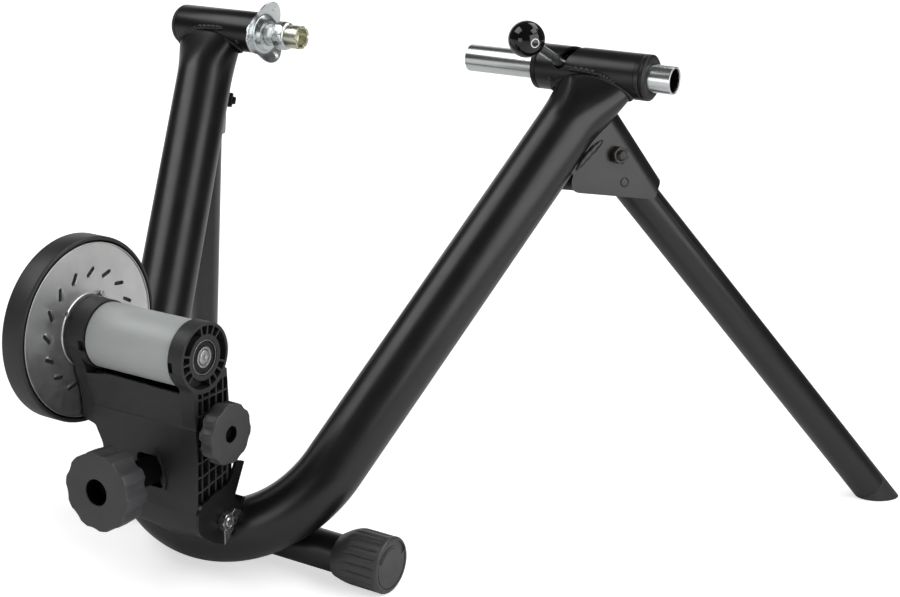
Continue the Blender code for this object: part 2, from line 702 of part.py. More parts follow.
def plane_outline(*corners):
    """Corners given from the yoke pivot bracket's own plane: down the frame and behind its plane."""
    return [tuple(on_frame(0, down, -behind).yz) for down, behind in corners]


def build_pivot_bracket(root, paint, steel):
    """Welded bracket on the bend: base plate, two ears for the yoke, two cheeks for the barrel nut."""
    base = plane_outline((0.425, 0.0257), (0.470, 0.0257), (0.470, 0.0287), (0.425, 0.0287))
    bracket = add_part("pivot_bracket", slab(base, -EAR_OUTER, EAR_OUTER, "X"), paint, root)
    lower, upper = plane_outline((0.4685, 0.0270), (0.4270, 0.0270))
    ear = [(-0.2733, 0.1010, 0.0012), (-0.2822, 0.1042, 0.0012), (-0.2915, 0.0868, 0.010)]
    ear += [(-0.3110, 0.0838, 0.012), (-0.3285, 0.0775, 0.006), (-0.3295, 0.0570, 0.010)]
    ear += [(-0.3110, 0.0430, 0.020), lower, upper, (-0.2852, 0.0745, 0.004)]
    ears = [slab(rounded(ear), EAR_INNER, EAR_OUTER, "X"), slab(rounded(ear), -EAR_OUTER, -EAR_INNER, "X")]
    nut = BARREL_NUT.yz
    foot = plane_outline((0.4600, 0.0270), (0.4270, 0.0270))
    cheek = [(nut[0] - 0.0105, nut[1] - 0.005), (nut[0] - 0.0105, nut[1] + 0.0105, 0.009)]
    cheek += [(nut[0] + 0.0105, nut[1] + 0.0105, 0.009), (nut[0] + 0.0105, nut[1] - 0.005), foot[1], foot[0]]
    cheeks = [slab(rounded(cheek), *span, "X")
              for span in ((CHEEK_INNER, CHEEK_OUTER), (-CHEEK_OUTER, -CHEEK_INNER))]
    fuse(bracket, *ears, *cheeks)
    pin = slab(circle(YOKE_PIVOT.yz, BOLT_HOLE), -0.06, 0.06, "X")
    trunnion = slab(circle(nut, BOLT_HOLE), -0.03, 0.03, "X")
    cut(bracket, pin, trunnion)

    place = Matrix.Translation(YOKE_PIVOT)
    seat = EAR_OUTER + GAP
    flipped = place @ Matrix.Rotation(math.pi, 4, "Z")
    bolt = hex_bolt(-seat - NUT_HEIGHT - 0.0040, seat, 0.0053)
    add_part("yoke_pivot_bolt", bolt, steel, root, flipped)
    add_part("yoke_pivot_nut", hex_nut(-seat - NUT_HEIGHT, -seat), steel, root, flipped)


def lattice_cells():
    """Cells between the ribs of the right arm; the row nearest the hub follows the hub's wall."""
    left = YOKE_FRONT + 0.0024
    right = YOKE_BACK - 0.0024
    columns = [left - RIB / 2, *RIB_COLUMNS, right + RIB / 2]
    hub = HUB_RADIUS + 0.0012
    cells = []
    for column in range(len(columns) - 1):
        low_y = columns[column] + RIB / 2
        high_y = columns[column + 1] - RIB / 2
        for row in range(len(RIB_ROWS) + 1):
            bottom = [(y, rib_height(row - 1, y) + RIB / 2) for y in (low_y, high_y)]
            if row < len(RIB_ROWS):
                top = [(y, rib_height(row, y) - RIB / 2) for y in (high_y, low_y)]
            else:
                top = []
                for y in (high_y, (low_y + high_y) / 2, low_y):
                    wall = ROLLER_AXIS.z - math.sqrt(max(hub ** 2 - (y - ROLLER_AXIS.y) ** 2, 0.0))
                    top.append((y, min(wall, 0.1745)))
                if top[0][1] - bottom[1][1] < 0.001 or top[-1][1] - bottom[0][1] < 0.001:
                    continue
            through = column == len(columns) - 3 and row == len(RIB_ROWS) - 1
            depth = 0.02 if through else RIB_DEPTH
            cells.append(slab(bottom + top, ARM_OUTER - depth, ARM_OUTER + 0.002, "X"))
    return cells


def rib_height(row, y):
    """Height of a slanting rib: level at the front wall, then rising towards the back."""
    if row < 0:
        return 0.0775
    level = RIB_ROWS[row]
    share = (level - RIB_ROWS[0]) / (RIB_ROWS[-1] - RIB_ROWS[0])
    slope = RIB_SLOPE_LOW + (RIB_SLOPE_HIGH - RIB_SLOPE_LOW) * share
    return level + slope * max(0.0, y - RIB_COLUMNS[0])


def hub_pockets():
    """Pockets round the bearing seat, between spokes that stand in three groups of four."""
    spokes = []
    for group in range(3):
        for offset in (-27, -9, 9, 27):
            spokes.append(math.radians(73.5 + 120 * group + offset))
    pockets = []
    centre = ROLLER_AXIS.yz
    for index, start in enumerate(spokes):
        end = spokes[(index + 1) % len(spokes)]
        turn = (end - start) % math.tau
        margin_in = RIB / 2 / 0.0179
        margin_out = RIB / 2 / 0.0248
        steps = max(1, round(turn / math.radians(30)))
        outer = circle(centre, 0.0248, steps, start + margin_out, turn - 2 * margin_out)
        inner = circle(centre, 0.0179, steps, end - margin_in, -(turn - 2 * margin_in))
        pockets.append(slab(outer + inner, ARM_OUTER - 0.0085, ARM_OUTER + 0.002, "X"))
    return pockets


def build_yoke(carrier, plastic):
    """Moulded yoke: rear wall, two arms, two bearing hubs; the right arm is a ribbed lattice."""
    front = YOKE_FRONT
    back = YOKE_BACK
    pivot = YOKE_PIVOT.yz
    wall = [(YOKE_LEFT, WALL_TOP), (YOKE_LEFT, 0.1260, 0.004), (-0.0580, 0.1230, 0.004)]
    wall += [(-0.0510, 0.1090), (-0.0450, 0.0720), (0.0445, 0.0720), (0.0445, WALL_TOP)]
    yoke = add_part("yoke", slab(rounded(wall), -0.335, -0.3205, "Y"), plastic, carrier)

    proud = front - 0.004
    lobe = [(back, 0.0740), (pivot[0] + 0.0125, pivot[1] - 0.0125, 0.0122), (proud, 0.0440, 0.008)]
    arm = [(proud, 0.1500), (back, 0.1543)] + lobe
    low_arm = [(proud, 0.1350), (back, 0.1350)] + lobe
    fuse(yoke, slab(rounded(arm), ARM_INNER, ARM_OUTER, "X"),
         slab(rounded(low_arm), -ARM_OUTER, -ARM_INNER, "X"))
    # One plane runs down the wall and both arms, leaning back below the crease
    plane = [(front, 0.190), (front, 0.139), (front + 0.0025, 0.071), (front + 0.0025, 0.048, 0.006)]
    plane += [(front + 0.012, 0.040), (0.0, 0.040), (0.0, 0.190)]
    keep(yoke, slab(rounded(plane), -0.08, 0.08, "X"))

    # Above it the arms swell forwards until they meet the hubs
    right = [(back, 0.1500), (back, 0.1543), (-0.2905, 0.1813), (-0.3365, 0.1779), (-0.3299, 0.1708)]
    right += [(-0.3292, 0.1615), (-0.3284, 0.1523), (front, 0.1420), (-0.3215, 0.1400)]
    left = [(back, 0.1265), (back, 0.1543), (-0.2905, 0.1813), (-0.3400, 0.1820), (-0.3356, 0.1728)]
    left += [(-0.3321, 0.1606), (-0.3280, 0.1463), (front, 0.1345), (front, 0.1265)]
    centre = ROLLER_AXIS.yz
    floor = [(-0.3235, 0.1265), (back - 0.001, 0.1265), (back - 0.001, 0.1335), (-0.3235, 0.1335)]
    shelf = [(-0.3235, 0.1520), (-0.3050, 0.1520), (-0.3050, 0.1555), (-0.3235, 0.1555)]
    fuse(yoke, slab(right, ARM_INNER, ARM_OUTER, "X"), slab(left, YOKE_LEFT, -0.0590, "X"))
    fuse(yoke, slab(circle(centre, HUB_RADIUS, 30), ARM_INNER, ARM_OUTER, "X"),
         slab(circle(centre, HUB_RADIUS, 30), -0.0717, -0.0530, "X"),
         slab(floor, YOKE_LEFT + 0.001, -0.0325, "X"), slab(shelf, -0.0545, 0.0325, "X"))
    cut(yoke, *lattice_cells(), *hub_pockets())
    fuse(yoke, slab(circle(SIDE_KNOB_PLACE.yz, 0.0095), ARM_INNER + 0.001, ARM_OUTER + 0.002, "X"))

    bores = [slab(circle(pivot, BOLT_HOLE), -0.06, 0.06, "X")]
    bores.append(slab(circle(SIDE_KNOB_PLACE.yz, BOLT_HOLE), ARM_INNER - 0.002, ARM_OUTER + 0.004, "X"))
    window = rounded([(side * 0.013, 0.0985 + lift * 0.0135, 0.004)
                      for side, lift in ((-1, -1), (1, -1), (1, 1), (-1, 1))])
    bores.append(slab(window, -0.335, -0.310, "Y"))
    place = Matrix.Translation(ROLLER_AXIS)
    seat = BEARING_RADIUS + GAP
    for stop, mouth, inside in ((0.0355, 0.047, 0.030), (-0.0600, -0.074, -0.0515)):
        passage = 0.0085
        steps = [(inside, 0.0), (inside, passage), (stop, passage), (stop, seat), (mouth, seat), (mouth, 0.0)]
        bore = turned(steps, 24)
        bore.transform(place)
        bores.append(bore)
    for angle in range(3):
        turn = math.radians(90 + 120 * angle)
        spot = (centre[0] + FIXING_CIRCLE * math.cos(turn), centre[1] + FIXING_CIRCLE * math.sin(turn))
        bores.append(slab(circle(spot, FIXING_RADIUS + GAP, 12), -0.075, -0.061, "X"))
    cut(yoke, *bores)


def build_unit(root, materials):
    """Everything that swings on the yoke's pivot bolt."""
    carrier = make_carrier("yoke_axis", YOKE_PIVOT, root)
    build_yoke(carrier, materials["plastic"])
    place = Matrix.Translation(ROLLER_AXIS)
    for label, low, high in (("right", 0.0359, 0.0445), ("left", -0.0690, -0.0604)):
        add_part(f"{label}_bearing", bearing_shape(low, high), materials["bearing"], carrier, place)
    add_magnet_plate(carrier, materials, place)

    spin = make_carrier("roller_axis", ROLLER_AXIS, root)
    wall = 0.003
    bore = SHAFT_RADIUS + GAP
    edge = 0.0008
    roller = [(ROLLER_LEFT, bore), (ROLLER_LEFT, ROLLER_RADIUS - edge), (ROLLER_LEFT + edge, ROLLER_RADIUS)]
    roller += [(ROLLER_RIGHT - edge, ROLLER_RADIUS), (ROLLER_RIGHT, ROLLER_RADIUS - edge)]
    end = 0.005
    roller += [(ROLLER_RIGHT, bore), (ROLLER_RIGHT - end, bore), (ROLLER_RIGHT - end, ROLLER_RADIUS - wall)]
    roller += [(ROLLER_LEFT + end, ROLLER_RADIUS - wall), (ROLLER_LEFT + end, bore)]
    add_part("roller", turned(roller, 32, looped=True), materials["roller"], spin, place)
    shaft = [(-0.0912, 0.0), (-0.0912, SHAFT_RADIUS), (0.0446, SHAFT_RADIUS), (0.0452, SHAFT_RADIUS - 0.0006)]
    shaft.append((0.0452, 0.0))
    add_part("roller_shaft", turned(shaft, 16), materials["steel"], spin, place)
    rotor = [(-0.0835, bore), (-0.0835, 0.066), (-0.0808, 0.066), (-0.0808, bore)]
    add_part("rotor_disc", turned(rotor, 28, looped=True), materials["aluminium"], spin, place)
    add_part("flywheel", flywheel_shape(bore), materials["iron"], spin, place)
    nut = hex_nut(-0.0908, -0.0862, bore, 0.0095)
    add_part("flywheel_nut", nut, materials["steel"], spin, place)


def bearing_shape(low, high):
    """Ball bearing with sunk shields: outer race, inner race and the groove between them."""
    sunk = 0.0009
    bore = SHAFT_RADIUS + GAP
    profile = [(low, bore), (low, BEARING_RADIUS), (high, BEARING_RADIUS), (high, 0.0122)]
    profile += [(high - sunk, 0.0120), (high - sunk, 0.0087), (high, 0.0085), (high, bore)]
    return turned(profile, 20, looped=True)


def flywheel_shape(bore):
    """Heavy rim round a dished web, sunk in the middle of its back for the nut."""
    inner = PLATE_RADIUS + 0.0008
    back = FLYWHEEL_BACK
    front = FLYWHEEL_FRONT
    profile = [(back + 0.0066, bore), (back + 0.0066, 0.0130), (back, 0.0140)]
    profile += [(back, FLYWHEEL_RADIUS - 0.0025), (back + 0.0025, FLYWHEEL_RADIUS)]
    profile += [(front - 0.0015, FLYWHEEL_RADIUS), (front, FLYWHEEL_RADIUS - 0.0015), (front, inner)]
    profile += [(back + 0.0070, inner), (back + 0.0070, 0.0160), (back + 0.0087, 0.0150)]
    profile.append((back + 0.0087, bore))
    return turned(profile, 36, looped=True)


def add_magnet_plate(carrier, materials, place):
    """Fixed plate with slanting vents, the magnet ring behind it and the screws that join them."""
    face = PLATE_FACE
    thick = 0.0015
    rim = PLATE_RADIUS
    lip = face + 0.0009
    profile = [(face - thick, 0.0125), (face - thick, rim), (face, rim), (face, 0.0330), (lip, 0.0322)]
    profile += [(lip, 0.0283), (face, 0.0277), (face, 0.0125)]
    plate = add_part("magnet_plate", turned(profile, 36, looped=True), materials["zinc"], carrier, place)
    slots = []
    half = 0.0037
    end = 0.0016
    ends = [(half, -end), (half + end, 0), (half, end), (-half, end), (-half - end, 0), (-half, -end)]
    for step in range(SLOT_COUNT):
        slot = slab(ends, face - 0.004, face + 0.004, "X")
        slot.transform(Matrix.Translation((0, SLOT_CIRCLE, 0)) @ Matrix.Rotation(SLOT_SLANT, 4, "X"))
        slot.transform(Matrix.Rotation(SLOT_START + math.tau * step / SLOT_COUNT, 4, "X"))
        slots.append(slot)
    screw_turns = [math.radians(79 * step - 15) for step in range(3)]
    fixing_turns = [math.radians(90 + 120 * step) for step in range(3)]
    for turn in screw_turns:
        slots.append(ring_hole(SCREW_CIRCLE, turn, SCREW_RADIUS + GAP, face - 0.004, face + 0.004))
    for turn in fixing_turns:
        slots.append(ring_hole(FIXING_CIRCLE, turn, FIXING_RADIUS + GAP, face - 0.004, face + 0.004))
    cut(plate, *slots)

    ring_face = face - thick - GAP
    ring_back = ring_face - 0.0045
    profile = [(ring_back, 0.0262), (ring_back, 0.0610), (ring_face, 0.0610), (ring_face, 0.0262)]
    ring = add_part("magnet_ring", turned(profile, 24, looped=True), materials["iron"], carrier, place)
    gaps = []
    for step in range(MAGNET_COUNT):
        gap = slab([(0.0385, -0.0013), (0.0630, -0.0021), (0.0630, 0.0021), (0.0385, 0.0013)],
                   ring_back - 0.001, ring_back + 0.0025, "X")
        gap.transform(Matrix.Rotation(math.tau * (step + 0.5) / MAGNET_COUNT, 4, "X"))
        gaps.append(gap)
    for turn in screw_turns:
        gaps.append(ring_hole(SCREW_CIRCLE, turn, SCREW_RADIUS + GAP, ring_back - 0.002, ring_face + 0.002))
    cut(ring, *gaps)
    for number, turn in enumerate(screw_turns, 1):
        spot = (0.0, SCREW_CIRCLE * math.cos(turn), SCREW_CIRCLE * math.sin(turn))
        screw = hex_screw(ring_back + 0.0005, lip + GAP, 0.0016)
        add_part(f"magnet_ring_screw_{number}", screw, materials["steel"], carrier,
                 place @ Matrix.Translation(spot))
    for number, turn in enumerate(fixing_turns, 1):
        spot = (0.0, FIXING_CIRCLE * math.cos(turn), FIXING_CIRCLE * math.sin(turn))
        head = face - thick - GAP
        screw = [(-0.0615, 0.0), (-0.0615, FIXING_RADIUS), (head, FIXING_RADIUS), (head, 0.0038)]
        screw += [(head - 0.0022, 0.0030), (head - 0.0022, 0.0)]
        add_part(f"plate_screw_{number}", turned(screw, 12), materials["steel"], carrier,
                 place @ Matrix.Translation(spot))


def ring_hole(reach, turn, radius, low, high):
    return slab(circle((reach * math.cos(turn), reach * math.sin(turn)), radius, 8), low, high, "X")


def hex_screw(tip, seat, height):
    profile = [(tip, 0.0), (tip, SCREW_RADIUS), (seat, SCREW_RADIUS), (seat, SCREW_HEAD)]
    profile += [(seat + height, SCREW_HEAD), (seat + height, 0.0)]
    return turned(profile, 12, form=hexagonal(SCREW_HEAD))


def knob_form(radius, count, depth, share, base, face):
    """Ring form with rounded scallops, each over a share of its pitch, shallower towards the face."""
    def form(x, reach, angle):
        if reach < radius * 0.8:
            return reach
        place = (angle * count / math.tau) % 1.0
        if place >= share:
            return reach
        here = depth * (1.0 - 0.5 * (x - base) / (face - base))
        return reach - here * math.sin(math.pi * place / share) ** 1.5
    return form


def knob_shape(base, face, radius, hole, hole_depth, form, steps, bore):
    """Knob along local X, bored for its bolt, with a wider round hole in the face."""
    bottom = face - hole_depth
    profile = [(face, hole), (face, radius - 0.0012), (face - 0.0012, radius), (base + 0.001, radius)]
    profile += [(base, radius - 0.001), (base, bore), (bottom, bore), (bottom, hole)]
    return turned(profile, steps, looped=True, form=form)


def build_tension(root, materials):
    """Barrel nut, sleeve, bolt and big knob that pull the roller against the tyre."""
    nut_axis = make_carrier("barrel_nut_axis", BARREL_NUT, root)
    place = Matrix.Translation(BARREL_NUT)
    half = CHEEK_INNER - GAP
    nut = [(-0.0205, 0.0), (-0.0205, BOLT_RADIUS), (-half, BOLT_RADIUS), (-half, 0.0080), (half, 0.0080)]
    nut += [(half, BOLT_RADIUS), (0.0205, BOLT_RADIUS), (0.0205, 0.0)]
    barrel = add_part("barrel_nut", turned(nut, 16), materials["steel"], nut_axis, place)
    cut(barrel, slab(circle((0, 0), BOLT_HOLE), -0.02, 0.02, "Y"))

    # Local X of these pieces points back along the bolt, away from the barrel nut
    back = place @ Matrix.Rotation(math.radians(-90), 4, "Z")
    slide_axis = make_carrier("tension_slide", BARREL_NUT, root)
    sleeve = pipe(0.0457, 0.0786, 0.0110, BOLT_HOLE, 16)
    add_part("tension_sleeve", sleeve, materials["plastic"], slide_axis, back)
    knob_axis = make_carrier("tension_axis", BARREL_NUT, root)
    base = BARREL_NUT.y - TENSION_BASE
    face = BARREL_NUT.y - TENSION_FACE
    form = knob_form(TENSION_KNOB_RADIUS, 10, 0.0026, 0.58, base, face)
    knob = knob_shape(base, face, TENSION_KNOB_RADIUS, 0.01035, 0.0170, form, 40, BOLT_HOLE)
    add_part("tension_knob", knob, materials["plastic"], knob_axis, back)
    bolt = hex_bolt(-0.0160, face - 0.0170 + GAP, 0.0050)
    add_part("tension_bolt", bolt, materials["steel"], knob_axis, back)


def build_side_knob(root, materials):
    carrier = make_carrier("side_knob_axis", SIDE_KNOB_PLACE, root)
    place = Matrix.Translation(SIDE_KNOB_PLACE)
    form = knob_form(SIDE_KNOB_RADIUS, 10, 0.0021, 0.58, SIDE_KNOB_BASE, SIDE_KNOB_FACE)
    knob = knob_shape(SIDE_KNOB_BASE, SIDE_KNOB_FACE, SIDE_KNOB_RADIUS, 0.0066, 0.0085, form, 40, BOLT_HOLE)
    add_part("side_knob", knob, materials["plastic"], carrier, place)
    stud = hex_bolt(0.0225, SIDE_KNOB_FACE - 0.0085 + GAP, 0.0035, flat=0.0054)
    add_part("side_knob_stud", stud, materials["steel"], carrier, place)
    nut = hex_nut(ARM_INNER - GAP - 0.0055, ARM_INNER - GAP)
    unit = bpy.data.objects["yoke_axis"]
    add_part("side_knob_nut", nut, materials["steel"], unit, place)


def main():
    clear_scene()
    materials = {
        "paint": make_material("black_powder_coat", (0.012, 0.012, 0.013), 0.38),
        "plastic": make_material("charcoal_plastic", (0.025, 0.025, 0.027), 0.55),
        "zinc": make_material("zinc_plate", (0.62, 0.63, 0.62), 0.35, 1.0),
        "gold": make_material("yellow_zinc", (0.72, 0.62, 0.38), 0.32, 1.0),
        "steel": make_material("steel", (0.45, 0.45, 0.46), 0.32, 1.0),
        "dark": make_material("black_oxide_steel", (0.05, 0.05, 0.05), 0.45, 0.8),
        "ball": make_material("gloss_black", (0.008, 0.008, 0.009), 0.08),
        "roller": make_material("satin_aluminium", (0.42, 0.44, 0.44), 0.45, 0.6),
        "aluminium": make_material("aluminium", (0.7, 0.7, 0.7), 0.35, 1.0),
        "iron": make_material("cast_iron", (0.02, 0.02, 0.021), 0.5, 0.3),
        "bearing": make_material("bearing_steel", (0.30, 0.30, 0.31), 0.25, 1.0),
    }
    # The axle line stands in front of the middle of the footprint
    root = make_carrier("trainer_origin", Vector((0, AXLE_Y, 0)))
    build_frame_tube(root, materials["paint"])
    build_foot_bar(root, materials["paint"], materials["plastic"])
    build_heads(root, materials["paint"], materials["plastic"], materials["zinc"])
    for side, label in ((1, "right"), (-1, "left")):
        build_leg(side, label, root, materials["paint"], materials["plastic"], materials["dark"])
    build_pivot_bracket(root, materials["paint"], materials["dark"])
    build_clamp(root, materials["steel"], materials["dark"], materials["ball"])
    build_cone(root, materials["zinc"], materials["gold"])
    build_unit(root, materials)
    build_tension(root, materials)
    build_side_knob(root, materials)


main()
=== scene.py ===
"""Look of the magnetic bike trainer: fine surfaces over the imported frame, light and camera.

The pieces are drawn in the trainer's own frame, whose y = 0 is the axle line, and moved by
AXLE_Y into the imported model's frame.
"""
import json
from math import (acos, asin, atan, atan2, ceil, copysign, cos, hypot, pi, radians, remainder, sin, sqrt,
                  tan, tau)

import bmesh
import bpy
from mathutils import Matrix, Vector


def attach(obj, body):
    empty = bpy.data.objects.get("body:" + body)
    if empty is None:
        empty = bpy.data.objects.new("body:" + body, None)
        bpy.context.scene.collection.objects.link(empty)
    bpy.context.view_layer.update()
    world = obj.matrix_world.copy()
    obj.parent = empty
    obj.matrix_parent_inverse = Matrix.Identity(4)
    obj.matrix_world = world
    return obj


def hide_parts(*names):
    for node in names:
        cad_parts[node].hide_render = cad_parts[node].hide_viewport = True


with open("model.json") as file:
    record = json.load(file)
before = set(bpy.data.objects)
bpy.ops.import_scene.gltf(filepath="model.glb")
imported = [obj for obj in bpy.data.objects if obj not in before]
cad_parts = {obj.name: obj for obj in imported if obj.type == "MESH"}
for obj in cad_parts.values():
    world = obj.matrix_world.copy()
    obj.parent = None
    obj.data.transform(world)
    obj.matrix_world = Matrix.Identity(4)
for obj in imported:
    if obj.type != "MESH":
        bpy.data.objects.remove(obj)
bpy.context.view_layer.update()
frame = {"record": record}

GAP = 0.0003
AXLE_Y = 0.07226
AXLE_HEIGHT = 0.3976
AXLE_PLACE = Matrix.Translation((0, 0, AXLE_HEIGHT))

TUBE_RADIUS = 0.0254
SMALL_TUBE_RADIUS = 0.015875
SMALL_TUBE_WALL = 0.0018
HEAD_RADIUS = 0.01905
HEAD_BORE = 0.0165
LEFT_HEAD = (-0.2394, -0.149)
RIGHT_HEAD = (0.1512, 0.2463)
UPRIGHT_SPAN = 0.2073
SPLAY = radians(15.86)
LEAN = radians(36.2)
BEND_RADIUS = 0.1037
BEND_CENTRE = (UPRIGHT_SPAN * cos(SPLAY) - BEND_RADIUS) / sin(SPLAY)
CRIMP_LENGTH = 0.06
CRIMP_ACROSS = 0.0345
CRIMP_NORMAL = 0.0143
COPE_TOP = 0.004
BEND_STEPS = 72

FOOT_BAR_HALF = 0.1545
FOOT_BAR_HEIGHT = 0.0205
FOOT_BAR_OFFSET = TUBE_RADIUS + SMALL_TUBE_RADIUS + GAP
FOOT_CAP_INNER = 0.1115
FOOT_CAP_OUTER = 0.1590
FOOT_CAP_RADIUS = 0.0234
FOOT_CAP_LIFT = 0.0029
FOOT_CAP_FLUTES = 20

LEG_JOINT_DROP = 0.0435
LEG_FOOT = Vector((0.4071, 0.2271, 0.0))
LEG_PIVOT = 0.0438
LEG_END_RADIUS = 0.017
LEG_FOOT_GAP = 0.0015
LEG_SPINE_DISTANCE = 0.0059
BRACKET_OUTER = 0.019
BRACKET_INNER = 0.0165
BRACKET_TILT = radians(5.4)
BRACKET_SPINE_START = Vector((0.0185, -0.0099))
BOLT_RADIUS = 0.004
BOLT_HOLE = BOLT_RADIUS + GAP
BOLT_HEAD = 0.0065
NUT_HEIGHT = 0.0062
RIVET_PLACE = Vector((0.0656, 0.0101))
RIVET_RADIUS = 0.00375

SPINDLE_RADIUS = 0.0115
SPINDLE_BORE = 0.0098
SPINDLE_START = 0.0787
SPINDLE_END = 0.271
LEVER_PLACE = 0.1739
LEVER_ANGLE = radians(158.2)
LEVER_SWEEP = radians(120)
LEVER_RADIUS = 0.004
CLAMP_TRAVEL = 0.016
BALL_REACH = 0.0814
BALL_RADIUS = 0.0148
BALL_FLAT = 0.0052

LOCK_RING_FACE = -0.1403
LOCK_RING_BACK = -0.1480
LOCK_RING_RADIUS = 0.0213
LOCK_RING_PLATE = 0.0018
LOCK_RING_FLAT = 0.0175
EAR_REACH = 0.0308
EAR_BEND = 0.0034
EAR_ANGLES = (radians(64), radians(184), radians(304))
NECK_RADIUS = 0.0102
DOME_RADIUS = 0.0132
CUP_RADIUS = 0.0107

ROLLER_AXIS = Vector((0.0, -0.3163, 0.1956))
ROLLER_RADIUS = 0.026
ROLLER_LEFT = -0.0522
ROLLER_RIGHT = 0.0309
HUB_RADIUS = 0.0273
SHAFT_RADIUS = 0.006
BEARING_RADIUS = 0.0137
YOKE_PIVOT = Vector((0.0, -0.2996, 0.0597))
PLATE_FACE = -0.072
PLATE_RADIUS = 0.070
PLATE_THICKNESS = 0.0015
FLYWHEEL_RADIUS = 0.0746
FLYWHEEL_BACK = -0.0925
FLYWHEEL_FRONT = -0.071
SLOT_COUNT = 16
SLOT_CIRCLE = 0.0464
SLOT_START = radians(19.6)
SLOT_SLANT = radians(-46)
SCREW_CIRCLE = 0.0300
SCREW_RADIUS = 0.0014
SCREW_HEAD = 0.0021
FIXING_CIRCLE = 0.0205
FIXING_RADIUS = 0.0020

ARM_INNER = 0.0316
ARM_OUTER = 0.045
YOKE_LEFT = -0.0705
YOKE_FRONT = -0.3265
YOKE_BACK = -0.2876
WALL_TOP = 0.1600
RIB = 0.0016
RIB_DEPTH = 0.009
RIB_COLUMNS = (-0.3190, -0.3110, -0.3030, -0.2950)
RIB_ROWS = (0.0885, 0.1004, 0.1123, 0.1245, 0.1370, 0.1498, 0.1628)
RIB_SLOPE_LOW = 0.28
RIB_SLOPE_HIGH = 0.05
POCKET_INNER = 0.0179
POCKET_OUTER = 0.0248
POCKET_DEPTH = 0.0085
POCKET_START = 73.5

BARREL_NUT = Vector((0.0, -0.281, 0.0985))
TENSION_FACE = -0.388
TENSION_BASE = -0.360
TENSION_KNOB_RADIUS = 0.0311
SIDE_KNOB_PLACE = Vector((0.0, -0.310, 0.137))
SIDE_KNOB_BASE = 0.050
SIDE_KNOB_FACE = 0.066
SIDE_KNOB_RADIUS = 0.0243
SIDE_KNOB_HOLE = 0.0085
TENSION_HOLE = 0.0170
SCALLOPS = 10
SCALLOP_SHARE = 0.62
EAR_INNER = 0.0465
EAR_OUTER = 0.0495
CHEEK_INNER = 0.0165
CHEEK_OUTER = 0.0195

CAMERA_YAW = radians(31.126)
CAMERA_PITCH = radians(15.113)
CAMERA_ROLL = radians(2.344)
CAMERA_PLACE = Vector((0.8315, -1.2661 + AXLE_Y, 0.5787))
CAMERA_LENS = 67.926
STUDIO_CENTRE = (0.0, 0.0, 0.2)
BACKDROP_SIDE = (-0.616, 0.788, 0.0)
# Name, place, target, power, width and height of each light
LIGHTS = (("key", (-1.35, -1.05, 2.2), STUDIO_CENTRE, 22.0, 1.9, 1.3),
          ("side", (0.90, -0.15, 0.54), (0.0, -0.1, 0.34), 4.6, 0.85, 0.66),
          ("side_high", (1.2, 0.15, 1.66), STUDIO_CENTRE, 6.6, 1.0, 0.7),
          ("front", (-0.15, -1.55, 0.40), (0.0, 0.0, 0.3), 2.4, 0.7, 0.5),
          ("back", (0.47, 1.29, 2.17), STUDIO_CENTRE, 12.6, 1.6, 1.0))
FLOOR_REACH = 6.0
FLOOR_GLOW = 0.60
FAR_GLOSS = 0.36
ROOM_GLOSS = 0.07
ROOM_LIGHT = 0.19

ARC_STEP = radians(8)
SHARP_ANGLE = radians(34)
CHAMFER_SLOPE = 1.7

BODY_OF = {}
for body_name, members in frame["record"]["behaviour"]["bodies"].items():
    for member in members:
        BODY_OF[member] = body_name


# Shapes

def gather(shapes):
    """Hold several shapes in one bmesh."""
    whole = bmesh.new()
    for shape in shapes:
        mesh = bpy.data.meshes.new("piece")
        shape.to_mesh(mesh)
        shape.free()
        whole.from_mesh(mesh)
        bpy.data.meshes.remove(mesh)
    return whole


def loft(rings, looped=False, capped=True):
    """Skin a row of rings. A ring of one point closes to that point."""
    shape = bmesh.new()
    rows = [[shape.verts.new(point) for point in ring] for ring in rings]
    following = rows[1:] + rows[:1] if looped else rows[1:]
    for first, second in zip(rows, following):
        for index in range(max(len(first), len(second))):
            ahead = index + 1
            corners = [first[index % len(first)], first[ahead % len(first)]]
            corners += [second[ahead % len(second)], second[index % len(second)]]
            corners = list(dict.fromkeys(corners))
            if len(corners) > 2:
                shape.faces.new(corners)
    if capped and not looped:
        for row in (rows[0], rows[-1]):
            if len(row) > 2:
                shape.faces.new(row)
    bmesh.ops.recalc_face_normals(shape, faces=shape.faces)
    return shape


def turned(profile, steps=96, looped=False, form=None):
    """Turn a profile of (x, radius) or (x, radius, lift) points about local X."""
    rings = []
    for x, radius, *rest in profile:
        lift = rest[0] if rest else 0.0
        if radius <= 1e-9:
            rings.append([(x, 0.0, lift)])
            continue
        ring = []
        for step in range(steps):
            angle = tau * step / steps
            reach = form(x, radius, angle) if form else radius
            ring.append((x, reach * cos(angle), lift + reach * sin(angle)))
        rings.append(ring)
    return loft(rings, looped)


def slab(outline, low, high, axis="Z"):
    """Extrude an outline along one axis; its points hold the other two coordinates in order."""
    def place(a, b, level):
        if axis == "X":
            return (level, a, b)
        if axis == "Y":
            return (a, level, b)
        return (a, b, level)
    return loft([[place(a, b, level) for a, b in outline] for level in (low, high)])


def circle(centre, radius, steps=48, start=0.0, turn=tau):
    """Points of a circle, or of an arc with both of its ends."""
    full = abs(turn) >= tau - 1e-6
    count = steps if full else steps + 1
    points = []
    for step in range(count):
        angle = start + turn * step / steps
        points.append((centre[0] + radius * cos(angle), centre[1] + radius * sin(angle)))
    return points


